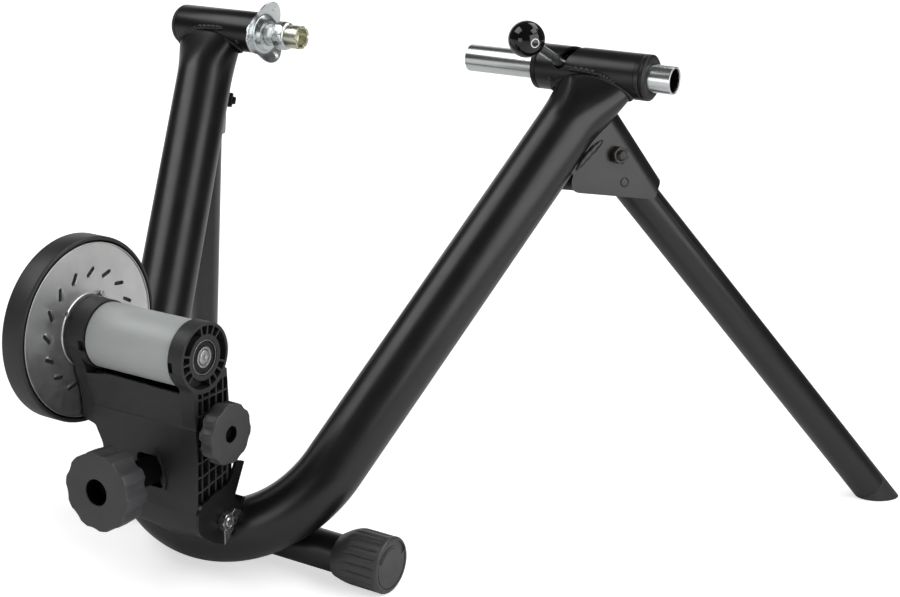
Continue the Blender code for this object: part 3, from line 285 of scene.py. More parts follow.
def rounded(corners, arc_step=ARC_STEP):
    """Outline through (a, b) corners; a third value rounds that corner with an arc."""
    outline = []
    for index, corner in enumerate(corners):
        here = Vector(corner[:2])
        if len(corner) == 2 or corner[2] <= 0.0:
            outline.append(tuple(here))
            continue
        radius = corner[2]
        back = (Vector(corners[index - 1][:2]) - here).normalized()
        ahead = (Vector(corners[(index + 1) % len(corners)][:2]) - here).normalized()
        half = back.angle(ahead) / 2
        centre = here + (back + ahead).normalized() * radius / sin(half)
        first = here + back * radius / tan(half) - centre
        last = here + ahead * radius / tan(half) - centre
        turn = pi - 2 * half
        if first.cross(last) < 0:
            turn = -turn
        steps = max(2, ceil(abs(turn) / arc_step))
        for step in range(steps + 1):
            outline.append(tuple(centre + Matrix.Rotation(turn * step / steps, 2) @ first))
    return outline


def softened(profile, radius, looped=False):
    """Profile with every corner off the axis rounded by the same small radius."""
    corners = []
    for index, point in enumerate(profile):
        end = not looped and index in (0, len(profile) - 1)
        if end:
            corners.append(point[:2])
            continue
        before = (Vector(profile[index - 1]) - Vector(point)).length
        after = (Vector(profile[(index + 1) % len(profile)]) - Vector(point)).length
        corners.append((*point[:2], min(radius, before * 0.45, after * 0.45)))
    outline = rounded(corners, radians(30))
    return [(x, max(reach, 0.0)) for x, reach in outline]


def chamfered_hex(flat, low, high, both=True):
    """Ring form for a hexagon whose corners are turned off at its high end, or at both."""
    def form(x, radius, angle):
        if radius < flat - 1e-6:
            return radius
        corner = radius / cos(radians(30) - angle % radians(60))
        room = flat + (high - x) * CHAMFER_SLOPE
        if both:
            room = min(room, flat + (x - low) * CHAMFER_SLOPE)
        return min(corner, max(room, flat))
    return form


def hex_profile(low, high, flat):
    """Rings dense enough near both ends to show the turned-off corners."""
    shares = (0.0, 0.04, 0.08, 0.13, 0.2, 0.5, 0.8, 0.87, 0.92, 0.96, 1.0)
    return [(low + (high - low) * share, flat) for share in shares]


def hex_bolt(tip, shoulder, head_height, radius=BOLT_RADIUS, flat=BOLT_HEAD, pitch=0.00125):
    """Bolt along local X with a thread at the tip, and a hexagon head with a washer face."""
    profile = [(tip, 0.0), (tip, radius - 0.0009), (tip + 0.0009, radius - 0.00002)]
    x = tip + 0.0009
    end = min(tip + 0.014, shoulder - 0.004)
    while x < end:
        profile += [(x + pitch * 0.5, radius - 0.0006), (x + pitch, radius - 0.00002)]
        x += pitch
    profile += [(shoulder, radius), (shoulder, flat * 0.93), (shoulder + 0.0004, flat * 0.93)]
    low = shoulder + 0.0004
    high = shoulder + head_height
    profile += hex_profile(low, high, flat)
    profile += [(high + 0.0001, flat * 0.9), (high + 0.0001, 0.0)]
    return turned(profile, 72, form=chamfered_hex(flat, low, high, both=False))


def hex_nut(low, high, bore=BOLT_HOLE, flat=BOLT_HEAD):
    profile = [(low, bore + 0.0003), (low, flat * 0.9), *hex_profile(low, high, flat)]
    profile += [(high, flat * 0.9), (high, bore + 0.0003), (high - 0.0004, bore), (low + 0.0004, bore)]
    return turned(profile, 72, looped=True, form=chamfered_hex(flat, low, high))


def pipe(low, high, outer, inner, edge=0.0004, steps=96):
    """Straight tube along local X with softened ends."""
    return lathe(band(low, high, inner, outer), edge, steps, looped=True)


def lathe(profile, edge, steps=96, looped=False):
    """Turn a profile whose corners are softened."""
    return turned(softened(profile, edge, looped), steps, looped)


def dowel(centre, radius, low, high, axis="Z", steps=48):
    """Straight round bar along one axis."""
    return slab(circle(centre, radius, steps), low, high, axis)


def box(left, right, low, high):
    """Outline of a rectangle."""
    return [(left, low), (right, low), (right, high), (left, high)]


def band(low, high, inner, outer):
    """Profile of a plain ring, or of a disc if the inner radius is zero."""
    return [(low, inner), (low, outer), (high, outer), (high, inner)]


def rotation(degrees, axis):
    return Matrix.Rotation(radians(degrees), 4, axis)


def carve(shape, *steps):
    """Boolean steps of (operation, shape), done in turn; returns the result."""
    made = []

    def temporary(source):
        mesh = bpy.data.meshes.new("tool")
        source.to_mesh(mesh)
        source.free()
        item = bpy.data.objects.new("tool", mesh)
        bpy.context.scene.collection.objects.link(item)
        made.append(item)
        return item

    base = temporary(shape)
    for operation, tool in steps:
        modifier = base.modifiers.new("step", "BOOLEAN")
        modifier.operation = operation
        modifier.solver = "EXACT"
        modifier.object = temporary(tool)
    bpy.context.view_layer.update()
    evaluated = base.evaluated_get(bpy.context.evaluated_depsgraph_get())
    result = bmesh.new()
    mesh = evaluated.to_mesh()
    result.from_mesh(mesh)
    evaluated.to_mesh_clear()
    for item in made:
        mesh = item.data
        bpy.data.objects.remove(item, do_unlink=True)
        bpy.data.meshes.remove(mesh)
    bmesh.ops.remove_doubles(result, verts=result.verts, dist=1e-7)
    return result


def minus(shape, *tools):
    return carve(shape, ("DIFFERENCE", gather(tools)))


def sweep(points, radii, steps=12, closed=False, squash=1.0, up=None):
    """Round bead along a path, with a radius for each point; squash flattens it along up."""
    rings = []
    count = len(points)
    side = None
    for index, point in enumerate(points):
        point = Vector(point)
        if closed:
            tangent = Vector(points[(index + 1) % count]) - Vector(points[index - 1])
        else:
            tangent = Vector(points[min(index + 1, count - 1)]) - Vector(points[max(index - 1, 0)])
        tangent.normalize()
        if side is None:
            start = Vector(up) if up else Vector((0.3, 0.5, 0.8))
            side = start
        side = (side - tangent * side.dot(tangent)).normalized()
        other = tangent.cross(side)
        radius = radii[index] if isinstance(radii, (list, tuple)) else radii
        ring = []
        for step in range(steps):
            angle = tau * step / steps
            lift = side * (radius * squash * cos(angle))
            ring.append(point + lift + other * (radius * sin(angle)))
        rings.append(ring)
    return loft(rings, looped=closed)


def resample(points, spacing, closed=False):
    """Points at an even spacing along a path."""
    path = [Vector(point) for point in points]
    if closed:
        path.append(path[0])
    lengths = [0.0]
    for first, second in zip(path, path[1:]):
        lengths.append(lengths[-1] + (second - first).length)
    count = max(2, round(lengths[-1] / spacing))
    result = []
    segment = 0
    for step in range(count if closed else count + 1):
        target = lengths[-1] * step / count
        while segment < len(path) - 2 and lengths[segment + 1] < target:
            segment += 1
        span = lengths[segment + 1] - lengths[segment]
        share = (target - lengths[segment]) / span if span else 0.0
        result.append(path[segment].lerp(path[segment + 1], share))
    return result


def weld(points, radius=0.0021, closed=False, pitch=0.0019, squash=1.0, up=None):
    """Weld bead with the overlapping ripples of a torch."""
    spacing = pitch / 6
    path = resample(points, spacing, closed)
    radii = []
    for index in range(len(path)):
        ripple = (index * spacing / pitch) % 1.0
        swell = sin(pi * ripple) ** 0.5
        drift = 1.0 + 0.07 * sin(index * 0.071) + 0.05 * sin(index * 0.193 + 1.0)
        radii.append(radius * (0.84 + 0.16 * swell) * drift)
    if not closed:
        for index in range(min(8, len(radii) // 2)):
            taper = sqrt((index + 0.3) / 8.3)
            radii[index] *= taper
            radii[-1 - index] *= taper
    return sweep(path, radii, 12, closed, squash, up)


# Finishes

def join(tree, socket, value):
    """Link a node's input to another socket, or set it to a value."""
    if isinstance(value, bpy.types.NodeSocket):
        tree.links.new(value, socket)
    else:
        socket.default_value = value


def add_node(tree, kind, settings=None, **inputs):
    """Add a shader node; an input that is a socket is linked, any other is set."""
    made = tree.nodes.new("ShaderNode" + kind)
    for key, value in (settings or {}).items():
        setattr(made, key, value)
    for key, value in inputs.items():
        join(tree, made.inputs[key.replace("_", " ")], value)
    return made


def calculate(tree, operation, *values, kind="Math"):
    """Arithmetic on sockets and numbers; returns the socket that holds the result."""
    made = add_node(tree, kind, {"operation": operation})
    for socket, value in zip(made.inputs, values):
        join(tree, socket, value)
    return made.outputs["Value"]


def noise(tree, scale, detail=2.0, stretch=(1.0, 1.0, 1.0), roughness=0.5):
    place = add_node(tree, "TexCoord").outputs["Object"]
    mapping = add_node(tree, "Mapping", Vector=place, Scale=stretch)
    made = add_node(tree, "TexNoise", Vector=mapping.outputs[0], Scale=scale, Detail=detail,
                    Roughness=roughness)
    return made.outputs[0]


def remap(tree, value, low, high, to_low, to_high):
    made = add_node(tree, "MapRange", Value=value, From_Min=low, From_Max=high, To_Min=to_low,
                    To_Max=to_high)
    return made.outputs[0]


def mix_colors(tree, factor, first, second):
    made = add_node(tree, "Mix", {"data_type": "RGBA"})
    for index, value in ((0, factor), (6, first), (7, second)):
        join(tree, made.inputs[index], (*value, 1.0) if isinstance(value, tuple) else value)
    return made.outputs[2]


def edge_wear_and_highlight(tree, radius):
    """Mask that is 1 on sharp edges: where a rounded normal leaves the true one."""
    soft = add_node(tree, "Bevel", {"samples": 4}, Radius=radius).outputs[0]
    true = add_node(tree, "NewGeometry").outputs["Normal"]
    likeness = calculate(tree, "DOT_PRODUCT", soft, true, kind="VectorMath")
    return remap(tree, likeness, 0.98, 0.75, 0.0, 1.0)


def make_finish(name, color, tint, roughness, metallic, patch, spread, grain, depth,
                stretch=(1.0, 1.0, 1.0), waves=None, edge=None, specular=0.5):
    """Material whose colour, gloss and relief all vary: patches, fine grain, soft waves, and sharp edges
    lightened partly as wear and partly as a painted highlight.
    """
    material = bpy.data.materials.new(name)
    material.use_nodes = True
    tree = material.node_tree
    inputs = tree.nodes["Principled BSDF"].inputs
    inputs["Metallic"].default_value = metallic
    inputs["Specular IOR Level"].default_value = specular
    surface = mix_colors(tree, remap(tree, noise(tree, patch, 4.0), 0.35, 0.65, 0.0, 1.0), color, tint)
    # Sharp edges are lightened, partly as wear and partly as a painted edge highlight.
    if edge:
        radius, wear_and_highlight_color, strength = edge
        breaks = remap(tree, noise(tree, 180.0, 3.0), 0.4, 0.62, 0.25 * strength, strength)
        mask = calculate(tree, "MULTIPLY", edge_wear_and_highlight(tree, radius), breaks)
        surface = mix_colors(tree, mask, surface, wear_and_highlight_color)
    gloss = noise(tree, patch * 2.7, 3.0, stretch)
    relief = add_node(tree, "Bump", Height=noise(tree, grain, 3.0, stretch), Distance=depth, Strength=1.0)
    if waves:
        scale, height, wave_stretch = waves
        swell = noise(tree, scale, 2.0, wave_stretch)
        swell = add_node(tree, "Bump", Height=swell, Distance=height, Strength=1.0)
        join(tree, relief.inputs["Normal"], swell.outputs[0])
    join(tree, inputs["Base Color"], surface)
    join(tree, inputs["Roughness"], remap(tree, gloss, 0.3, 0.7, roughness - spread, roughness + spread))
    join(tree, inputs["Normal"], relief.outputs[0])
    return material


# Name, colour, tint, roughness, metallic, patches, spread of gloss, grain, depth of relief
FINISHES = {
    "paint": make_finish(
        "satin_powder_coat", (0.0056, 0.0052, 0.0056), (0.0078, 0.0073, 0.0077), 0.31, 0.0, 18.0, 0.03,
        1500.0, 0.000018, waves=(420.0, 0.000012, (1.0, 1.0, 1.0)),
        edge=(0.0008, (0.020, 0.0195, 0.020), 0.5)),
    "plastic": make_finish(
        "moulded_charcoal", (0.0200, 0.0192, 0.0198), (0.0245, 0.0235, 0.0242), 0.48, 0.0, 22.0, 0.05,
        2600.0, 0.00004, edge=(0.0006, (0.050, 0.048, 0.050), 0.6)),
    "rubber": make_finish(
        "grey_grip", (0.0430, 0.0410, 0.0440), (0.0490, 0.0470, 0.0500), 0.42, 0.0, 30.0, 0.06, 2600.0,
        0.00003, edge=(0.0006, (0.085, 0.082, 0.086), 0.6)),
    # Near-black, almost glossless finish. It gives the black of the tension sleeve and knob bosses, and
    # painted shade in the spindle's bore, the knob holes and the bolt ends inside them, the yoke's pocket
    # and the webs behind its slit.
    "black_and_shade": make_finish(
        "black_and_painted_shade", (0.0024, 0.0022, 0.0024), (0.0036, 0.0034, 0.0036), 0.55, 0.0, 40.0, 0.05, 2200.0,
        0.00002, specular=0.06),
    "nylon": make_finish(
        "black_nylon", (0.0052, 0.0048, 0.0052), (0.0070, 0.0066, 0.0070), 0.42, 0.0, 40.0, 0.05, 2200.0,
        0.00002, specular=0.35, edge=(0.0005, (0.020, 0.0195, 0.020), 0.5)),
    # The edge colours of the metals below are lighter than their base: partly wear, partly a painted edge
    # highlight.
    "zinc": make_finish(
        "clear_zinc", (0.72, 0.745, 0.75), (0.64, 0.67, 0.675), 0.28, 1.0, 45.0, 0.05, 1400.0, 0.000006,
        edge=(0.0006, (0.85, 0.86, 0.86), 0.7)),
    "plate": make_finish(
        "galvanised_sheet", (0.75, 0.755, 0.745), (0.68, 0.685, 0.68), 0.36, 1.0, 60.0, 0.05, 1400.0,
        0.000012, edge=(0.0004, (0.80, 0.81, 0.83), 0.8)),
    "gold": make_finish(
        "yellow_zinc", (0.74, 0.725, 0.57), (0.66, 0.66, 0.55), 0.30, 1.0, 70.0, 0.06, 1600.0, 0.000008,
        edge=(0.0005, (0.88, 0.87, 0.80), 0.7)),
    "tube": make_finish(
        "bright_zinc_tube", (0.72, 0.74, 0.74), (0.62, 0.645, 0.65), 0.25, 1.0, 30.0, 0.05, 900.0, 0.00001,
        stretch=(0.10, 1.0, 1.0), waves=(120.0, 0.000012, (0.06, 1.0, 1.0)),
        edge=(0.0006, (0.86, 0.87, 0.86), 0.6)),
    "steel": make_finish(
        "bright_steel", (0.50, 0.50, 0.50), (0.40, 0.40, 0.41), 0.30, 1.0, 150.0, 0.08, 1800.0, 0.000012),
    "oxide": make_finish(
        "black_oxide", (0.0180, 0.0155, 0.0135), (0.034, 0.029, 0.025), 0.36, 0.5, 220.0, 0.10, 1800.0,
        0.00003, edge=(0.0004, (0.095, 0.090, 0.082), 0.7)),
    "ball": make_finish(
        "gloss_ball", (0.0030, 0.0030, 0.0034), (0.0040, 0.0040, 0.0044), 0.07, 0.0, 60.0, 0.02, 500.0,
        0.000002),
    "mark": make_finish(
        "white_print", (0.75, 0.76, 0.78), (0.68, 0.69, 0.71), 0.45, 0.0, 300.0, 0.05, 2500.0, 0.00001),
    "roller": make_finish(
        "satin_roller", (0.450, 0.472, 0.462), (0.425, 0.446, 0.437), 0.42, 0.08, 14.0, 0.04, 1500.0,
        0.000015, stretch=(1.0, 0.05, 0.05), waves=(110.0, 0.000008, (1.0, 0.02, 0.02)),
        edge=(0.0005, (0.6, 0.62, 0.63), 0.6)),
    "turned": make_finish(
        "turned_aluminium", (0.62, 0.62, 0.63), (0.52, 0.52, 0.53), 0.30, 1.0, 60.0, 0.06, 1600.0, 0.00002),
    "iron": make_finish(
        "black_casting", (0.0190, 0.0178, 0.0182), (0.0240, 0.0226, 0.0230), 0.46, 0.0, 16.0, 0.05, 1200.0,
        0.00003, edge=(0.0008, (0.050, 0.048, 0.048), 0.5)),
    "shield": make_finish(
        "bearing_shield", (0.030, 0.030, 0.031), (0.045, 0.045, 0.046), 0.36, 0.9, 200.0, 0.08, 2000.0,
        0.00001),
}


def dress(node, shape, finish, place=None, edge=0.0, segments=2, extra=None):
    """Put a piece, drawn in the trainer's frame, on its CAD node's body.

    It stands for that node, unless it has a name of its own as an extra piece.
    """
    name = extra or f"{node}_look"
    mesh = bpy.data.meshes.new(name)
    shape.transform(Matrix.Translation((0, AXLE_Y, 0)) @ (place or Matrix.Identity(4)))
    shape.to_mesh(mesh)
    shape.free()
    mesh.shade_smooth()
    mesh.set_sharp_from_angle(angle=SHARP_ANGLE)
    mesh.materials.append(FINISHES[finish])
    piece = bpy.data.objects.new(name, mesh)
    bpy.context.scene.collection.objects.link(piece)
    if edge:
        bevel = piece.modifiers.new("edge", "BEVEL")
        bevel.width = edge
        bevel.segments = segments
        bevel.limit_method = "ANGLE"
        bevel.angle_limit = SHARP_ANGLE
        bevel.use_clamp_overlap = True
        bevel.harden_normals = True
    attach(piece, BODY_OF[node])
    if not extra:
        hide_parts(node)


# Frame

def on_frame(across, down, normal=0.0):
    """A point given across, down and in front of the frame's plane, from the middle of the axle line."""
    y = -down * sin(LEAN) + normal * cos(LEAN)
    z = AXLE_HEIGHT - down * cos(LEAN) - normal * sin(LEAN)
    return Vector((across, y, z))


def frame_matrix():
    origin = on_frame(0, 0)
    columns = [Vector((1, 0, 0)), on_frame(0, 1) - origin, on_frame(0, 0, 1) - origin]
    matrix = Matrix(columns).transposed().to_4x4()
    matrix.translation = origin
    return matrix


def crimp(distance):
    """Half widths of the upright near its top, where the round tube is pressed to the head tube's width."""
    blend = min(max(distance / CRIMP_LENGTH, 0.0), 1.0)
    blend = blend * blend * (3 - 2 * blend)
    across = CRIMP_ACROSS + (TUBE_RADIUS - CRIMP_ACROSS) * blend
    normal = CRIMP_NORMAL + (TUBE_RADIUS - CRIMP_NORMAL) * blend
    return across, normal


def tube_ring(centre, outward, half_across, half_normal, steps, power=1.0):
    ring = []
    for step in range(steps):
        angle = tau * step / steps
        reach = half_across * copysign(abs(cos(angle)) ** power, cos(angle))
        lift = half_normal * copysign(abs(sin(angle)) ** power, sin(angle))
        ring.append((centre[0] + outward[0] * reach, centre[1] + outward[1] * reach, lift))
    return ring


def upright_rings(side, distances, grow, steps=96):
    rings = []
    for distance in distances:
        half_across, half_normal = crimp(distance)
        centre = (side * (UPRIGHT_SPAN - distance * sin(SPLAY)), distance * cos(SPLAY))
        outward = (side * cos(SPLAY), sin(SPLAY))
        power = 1.0 - 0.06 * (half_across - TUBE_RADIUS) / (CRIMP_ACROSS - TUBE_RADIUS)
        rings.append(tube_ring(centre, outward, half_across + grow, half_normal + grow, steps, power))
    return rings


def frame_rings():
    stations = [-0.02 + 0.004 * step for step in range(21)]
    bend = []
    for step in range(BEND_STEPS + 1):
        angle = SPLAY + (pi - 2 * SPLAY) * step / BEND_STEPS
        outward = (cos(angle), sin(angle))
        centre = (BEND_RADIUS * outward[0], BEND_CENTRE + BEND_RADIUS * outward[1])
        bend.append(tube_ring(centre, outward, TUBE_RADIUS, TUBE_RADIUS, 96))
    return upright_rings(1, stations, 0.0) + bend + upright_rings(-1, stations, 0.0)[::-1]


def head_weld_path(side):
    """Closed line where an upright's coped top meets its head tube, in the frame's own plane."""
    points = []
    for step in range(96):
        angle = tau * step / 96
        lift = CRIMP_NORMAL * sin(angle)
        turn = asin(max(min(lift / HEAD_RADIUS, 0.975), -0.975))
        down = (HEAD_RADIUS + 0.0006) * cos(turn)
        centre = UPRIGHT_SPAN - down * tan(SPLAY)
        across = side * (centre + (CRIMP_ACROSS + 0.0006) / cos(SPLAY) * cos(angle))
        points.append((across, down, (HEAD_RADIUS + 0.0006) * sin(turn)))
    return points


def dress_frame():
    outside = loft(frame_rings())
    saddle = HEAD_RADIUS + 0.0001
    reach = acos(COPE_TOP / saddle)
    arc = circle((0, 0), saddle, 48, reach, -2 * reach)
    cope = box(COPE_TOP, -0.05, -0.04, 0.04) + arc
    tube = minus(outside, slab(cope, -0.3, 0.3, "X"))
    dress("u_frame_tube", tube, "paint", frame_matrix())
    for side, label in ((1, "right"), (-1, "left")):
        dress("u_frame_tube", weld(head_weld_path(side), 0.0015, closed=True), "paint", frame_matrix(),
              extra=f"{label}_head_weld")
        dress("u_frame_tube", head_weld_strip(side), "paint", AXLE_PLACE,
              extra=f"{label}_head_weld_strip")


def head_weld_strip(side):
    """Broad flat bead along the front of the head tube, with a few lumps where it was ended."""
    reach = HEAD_RADIUS + 0.0002
    strip = [(side * x, reach * cos(radians(turn)), reach * sin(radians(turn)))
             for x, turn in ((0.1790, 170), (0.1850, 171), (0.1970, 172), (0.2090, 175), (0.2150, 178))]
    parts = [weld(strip, 0.0028, pitch=0.0052, squash=0.8, up=(0, -1, 0))]
    lumps = ((0.2140, 181, 0.0026), (0.2175, 184, 0.0023), (0.2205, 188, 0.0024), (0.2240, 193, 0.0019))
    lumps += ((0.1655, 205, 0.0021),)
    for x, turn, radius in lumps:
        middle = Vector((side * x, reach * cos(radians(turn)), reach * sin(radians(turn))))
        rings = []
        for step in range(13):
            angle = pi * step / 12
            offset = -radius * cos(angle) * 1.2
            width = radius * sin(angle)
            spots = [tau * spot / 16 for spot in range(1 if step in (0, 12) else 16)]
            rings.append([middle + Vector((offset, width * 0.7 * cos(spot), width * sin(spot)))
                          for spot in spots])
        parts.append(loft(rings))
    return gather(parts)


def dress_foot_bar():
    down = (AXLE_HEIGHT - FOOT_BAR_HEIGHT - FOOT_BAR_OFFSET * sin(LEAN)) / cos(LEAN)
    place = Matrix.Translation(on_frame(0, down, FOOT_BAR_OFFSET))
    bar = pipe(-FOOT_BAR_HALF, FOOT_BAR_HALF, SMALL_TUBE_RADIUS, SMALL_TUBE_RADIUS - SMALL_TUBE_WALL)
    dress("foot_bar", bar, "paint", place)
    for side, label in ((1, "right"), (-1, "left")):
        dress(f"{label}_foot_cap", foot_cap_shape(side), "rubber", place, edge=0.0004)


def foot_cap_shape(side):
    inner = FOOT_CAP_INNER
    outer = FOOT_CAP_OUTER
    bottom = FOOT_CAP_OUTER - 0.0042
    bore = SMALL_TUBE_RADIUS + 0.0004
    body = FOOT_CAP_RADIUS
    lift = FOOT_CAP_LIFT

    def flutes(x, radius, angle):
        if radius < 0.0189:
            return radius
        place = abs(x)
        fade = min(1.0, max(0.0, (place - inner - 0.012) / 0.008),
                   max(0.0, (outer - 0.0035 - place) / 0.002))
        groove = max(0.0, -cos(FOOT_CAP_FLUTES * angle)) ** 6
        flat = 0.00025 * (1 - cos(FOOT_CAP_FLUTES * angle))
        return radius - (0.0010 * groove + flat * 0.5) * fade

    profile = [(outer - 0.0003, 0.0, lift), (outer - 0.0003, 0.0182, lift), (outer - 0.0009, 0.0185, lift)]
    profile += [(outer - 0.0009, 0.0190, lift), (outer - 0.0001, 0.0193, lift), (outer, 0.0197, lift)]
    profile += [(outer, body - 0.0030, lift)]
    for step in range(1, 9):
        angle = pi / 2 * step / 8
        profile.append((outer - 0.0028 * (1 - cos(angle)), body - 0.0030 + 0.0030 * sin(angle), lift))
    for step in range(1, 13):
        profile.append((outer - 0.0028 - (outer - 0.0028 - inner - 0.020) * step / 12, body, lift))
    for step in range(1, 17):
        share = 1 - step / 16
        swell = sin(pi / 2 * share)
        profile.append((inner + 0.0004 + 0.0196 * share, 0.0182 + (body - 0.0182) * swell, lift * swell))
    profile += [(inner, 0.0177), (inner, bore), (bottom, bore), (bottom, 0.0)]
    cap = turned([(side * x, *rest) for x, *rest in profile], 12 * FOOT_CAP_FLUTES, form=flutes)
    steps = []
    for reach, narrow, depth in ((0.0206, 0.0180, 0.0015), (0.0178, 0.0163, 0.0008)):
        crescent = circle((0, lift), reach, 40, radians(25), radians(130))
        crescent += circle((0, lift * 0.2), narrow, 40, radians(152), radians(-124))
        low, high = sorted((side * (outer - depth), side * (outer + 0.002)))
        steps.append(("DIFFERENCE", slab(crescent, low, high, "X")))
    return carve(cap, *steps)


def dress_heads():
    place = AXLE_PLACE
    plug = HEAD_BORE - GAP
    dress("left_head_tube", pipe(*LEFT_HEAD, HEAD_RADIUS, HEAD_BORE, 0.0006), "paint", place)
    cap = [(-0.2462, 0.0), (-0.2462, 0.0125), (-0.2456, 0.0152), (-0.2442, 0.0174), (-0.2421, 0.0187)]
    cap += [(-0.2399, HEAD_RADIUS), (-0.2396, HEAD_RADIUS - 0.0002), (-0.2396, plug), (-0.2300, plug),
            (-0.2300, 0.0)]
    dress("left_head_cap", lathe(cap, 0.0007), "plastic", place)
    bushing = pipe(-0.189, -0.1492, plug, NECK_RADIUS + GAP)
    dress("left_head_bushing", bushing, "zinc", place)

    groove = turned(band(0.2417, 0.2423, 0.0186, 0.0200), looped=True)
    head = minus(pipe(*RIGHT_HEAD, HEAD_RADIUS, HEAD_BORE, 0.0006), lever_slot(), groove)
    dress("right_head_tube", head, "paint", place, edge=0.0004)
    bore = SPINDLE_RADIUS + GAP
    inner = [(0.1466, bore), (0.1463, 0.0181), (0.1470, HEAD_RADIUS), (0.1509, HEAD_RADIUS), (0.1509, plug)]
    inner += [(0.1640, plug), (0.1640, bore)]
    dress("right_inner_bushing", lathe(inner, 0.0005, looped=True), "nylon", place)
    outer = [(0.2300, bore), (0.2300, plug), (0.2466, plug), (0.2466, HEAD_RADIUS), (0.2496, HEAD_RADIUS)]
    outer += [(0.2510, 0.0172), (0.2510, bore)]
    dress("right_outer_bushing", lathe(outer, 0.0005, looped=True), "nylon", place)


def lever_slot():
    """Helical slot that the lever's rod follows."""
    steps = 60
    margin = radians(17)
    slope = CLAMP_TRAVEL / LEVER_SWEEP
    half_width = (LEVER_RADIUS + 0.0005) / cos(atan(slope / HEAD_RADIUS)) + 0.0002
    rings = []
    for step in range(steps + 1):
        turn = -margin + (LEVER_SWEEP + 2 * margin) * step / steps
        angle = LEVER_ANGLE - turn
        middle = LEVER_PLACE + slope * min(max(turn, 0.0), LEVER_SWEEP)
        past = max(-turn, turn - LEVER_SWEEP, 0.0) / margin
        half = max(half_width * sqrt(max(1 - past * past, 0.0)), 0.0004)
        ring = []
        for offset, reach in ((-1, 0.0125), (1, 0.0125), (1, 0.0225), (-1, 0.0225)):
            ring.append((middle + offset * half, reach * cos(angle), reach * sin(angle)))
        rings.append(ring)
    return loft(rings)


# Legs

def leg_matrix(side):
    """Local X down the leg, local Y across it towards the upright's lower end, Z on the hinge axis."""
    top = on_frame(side * (UPRIGHT_SPAN - LEG_JOINT_DROP * sin(SPLAY)), LEG_JOINT_DROP * cos(SPLAY))
    foot = Vector((side * LEG_FOOT.x, LEG_FOOT.y, LEG_FOOT.z))
    upright = (on_frame(-side * sin(SPLAY), cos(SPLAY)) - on_frame(0, 0)).normalized()
    along = (foot - top).normalized()
    across = (upright - along * upright.dot(along)).normalized()
    matrix = Matrix([along, across, along.cross(across)]).transposed().to_4x4()
    matrix.translation = top
    return matrix


def dress_leg(side, label):
    place = leg_matrix(side)
    length = (Vector((side * LEG_FOOT.x, LEG_FOOT.y, 0.0)) - place.translation).length
    dress_bracket(side, label, place)
    pivot = place @ Matrix.Translation((LEG_PIVOT, 0, 0))
    drop = -place.col[0].z
    slope = sqrt(1 - drop * drop)
    tube_end = length - LEG_PIVOT - (SMALL_TUBE_RADIUS * slope + LEG_FOOT_GAP) / drop
    outer = SMALL_TUBE_RADIUS
    bore = SMALL_TUBE_RADIUS - SMALL_TUBE_WALL

    def ring(radius, end):
        points = []
        for step in range(96):
            angle = tau * step / 96
            y = radius * cos(angle)
            z = radius * sin(angle)
            points.append((end(y, z), y, z))
        return points

    def top(y, z):
        spine = LEG_SPINE_DISTANCE + sqrt(BRACKET_INNER ** 2 - z * z) - 2 * GAP
        reach = min(LEG_END_RADIUS, spine)
        return -sqrt(max(reach * reach - y * y, 0.0))

    def floor(y, z):
        return (pivot.translation.z + y * pivot.col[1].z + z * pivot.col[2].z) / drop

    rings = [ring(bore, top), ring(outer - 0.0003, top), ring(outer, lambda y, z: top(y, z) + 0.0003)]
    rings += [ring(outer, lambda y, z: tube_end - 0.0003), ring(outer - 0.0003, lambda y, z: tube_end)]
    rings += [ring(bore, lambda y, z: tube_end)]
    tube = minus(loft(rings, looped=True), dowel((0, 0), BOLT_HOLE, -0.03, 0.03))
    dress(f"{label}_leg_tube", tube, "paint", pivot)

    plug = bore - GAP
    start = tube_end + GAP
    rings = [[(start - 0.020, 0, 0)], ring(plug, lambda y, z: start - 0.020),
             ring(plug, lambda y, z: start)]
    rings += [ring(outer - 0.0004, lambda y, z: start), ring(outer, lambda y, z: start + 0.0004)]
    rings += [ring(outer, lambda y, z: floor(y, z) - 0.0005), ring(outer - 0.0006, floor)]
    dress(f"{label}_leg_plug", loft(rings), "plastic", pivot)
    across = pivot @ rotation(-90, "Y")
    dress(f"{label}_leg_bush", pipe(-0.0124, 0.0124, 0.0060, BOLT_HOLE, 0.0003, 48), "oxide", across)


def bracket_silhouette():
    corners = [(0.0, -0.035), (0.0, 0.0410), (0.0275, 0.0410), (0.0345, 0.0534, 0.009),
               (0.0968, -0.001, 0.003)]
    corners += [(0.0932, -0.012), (0.0921, -0.035)]
    return rounded(corners)


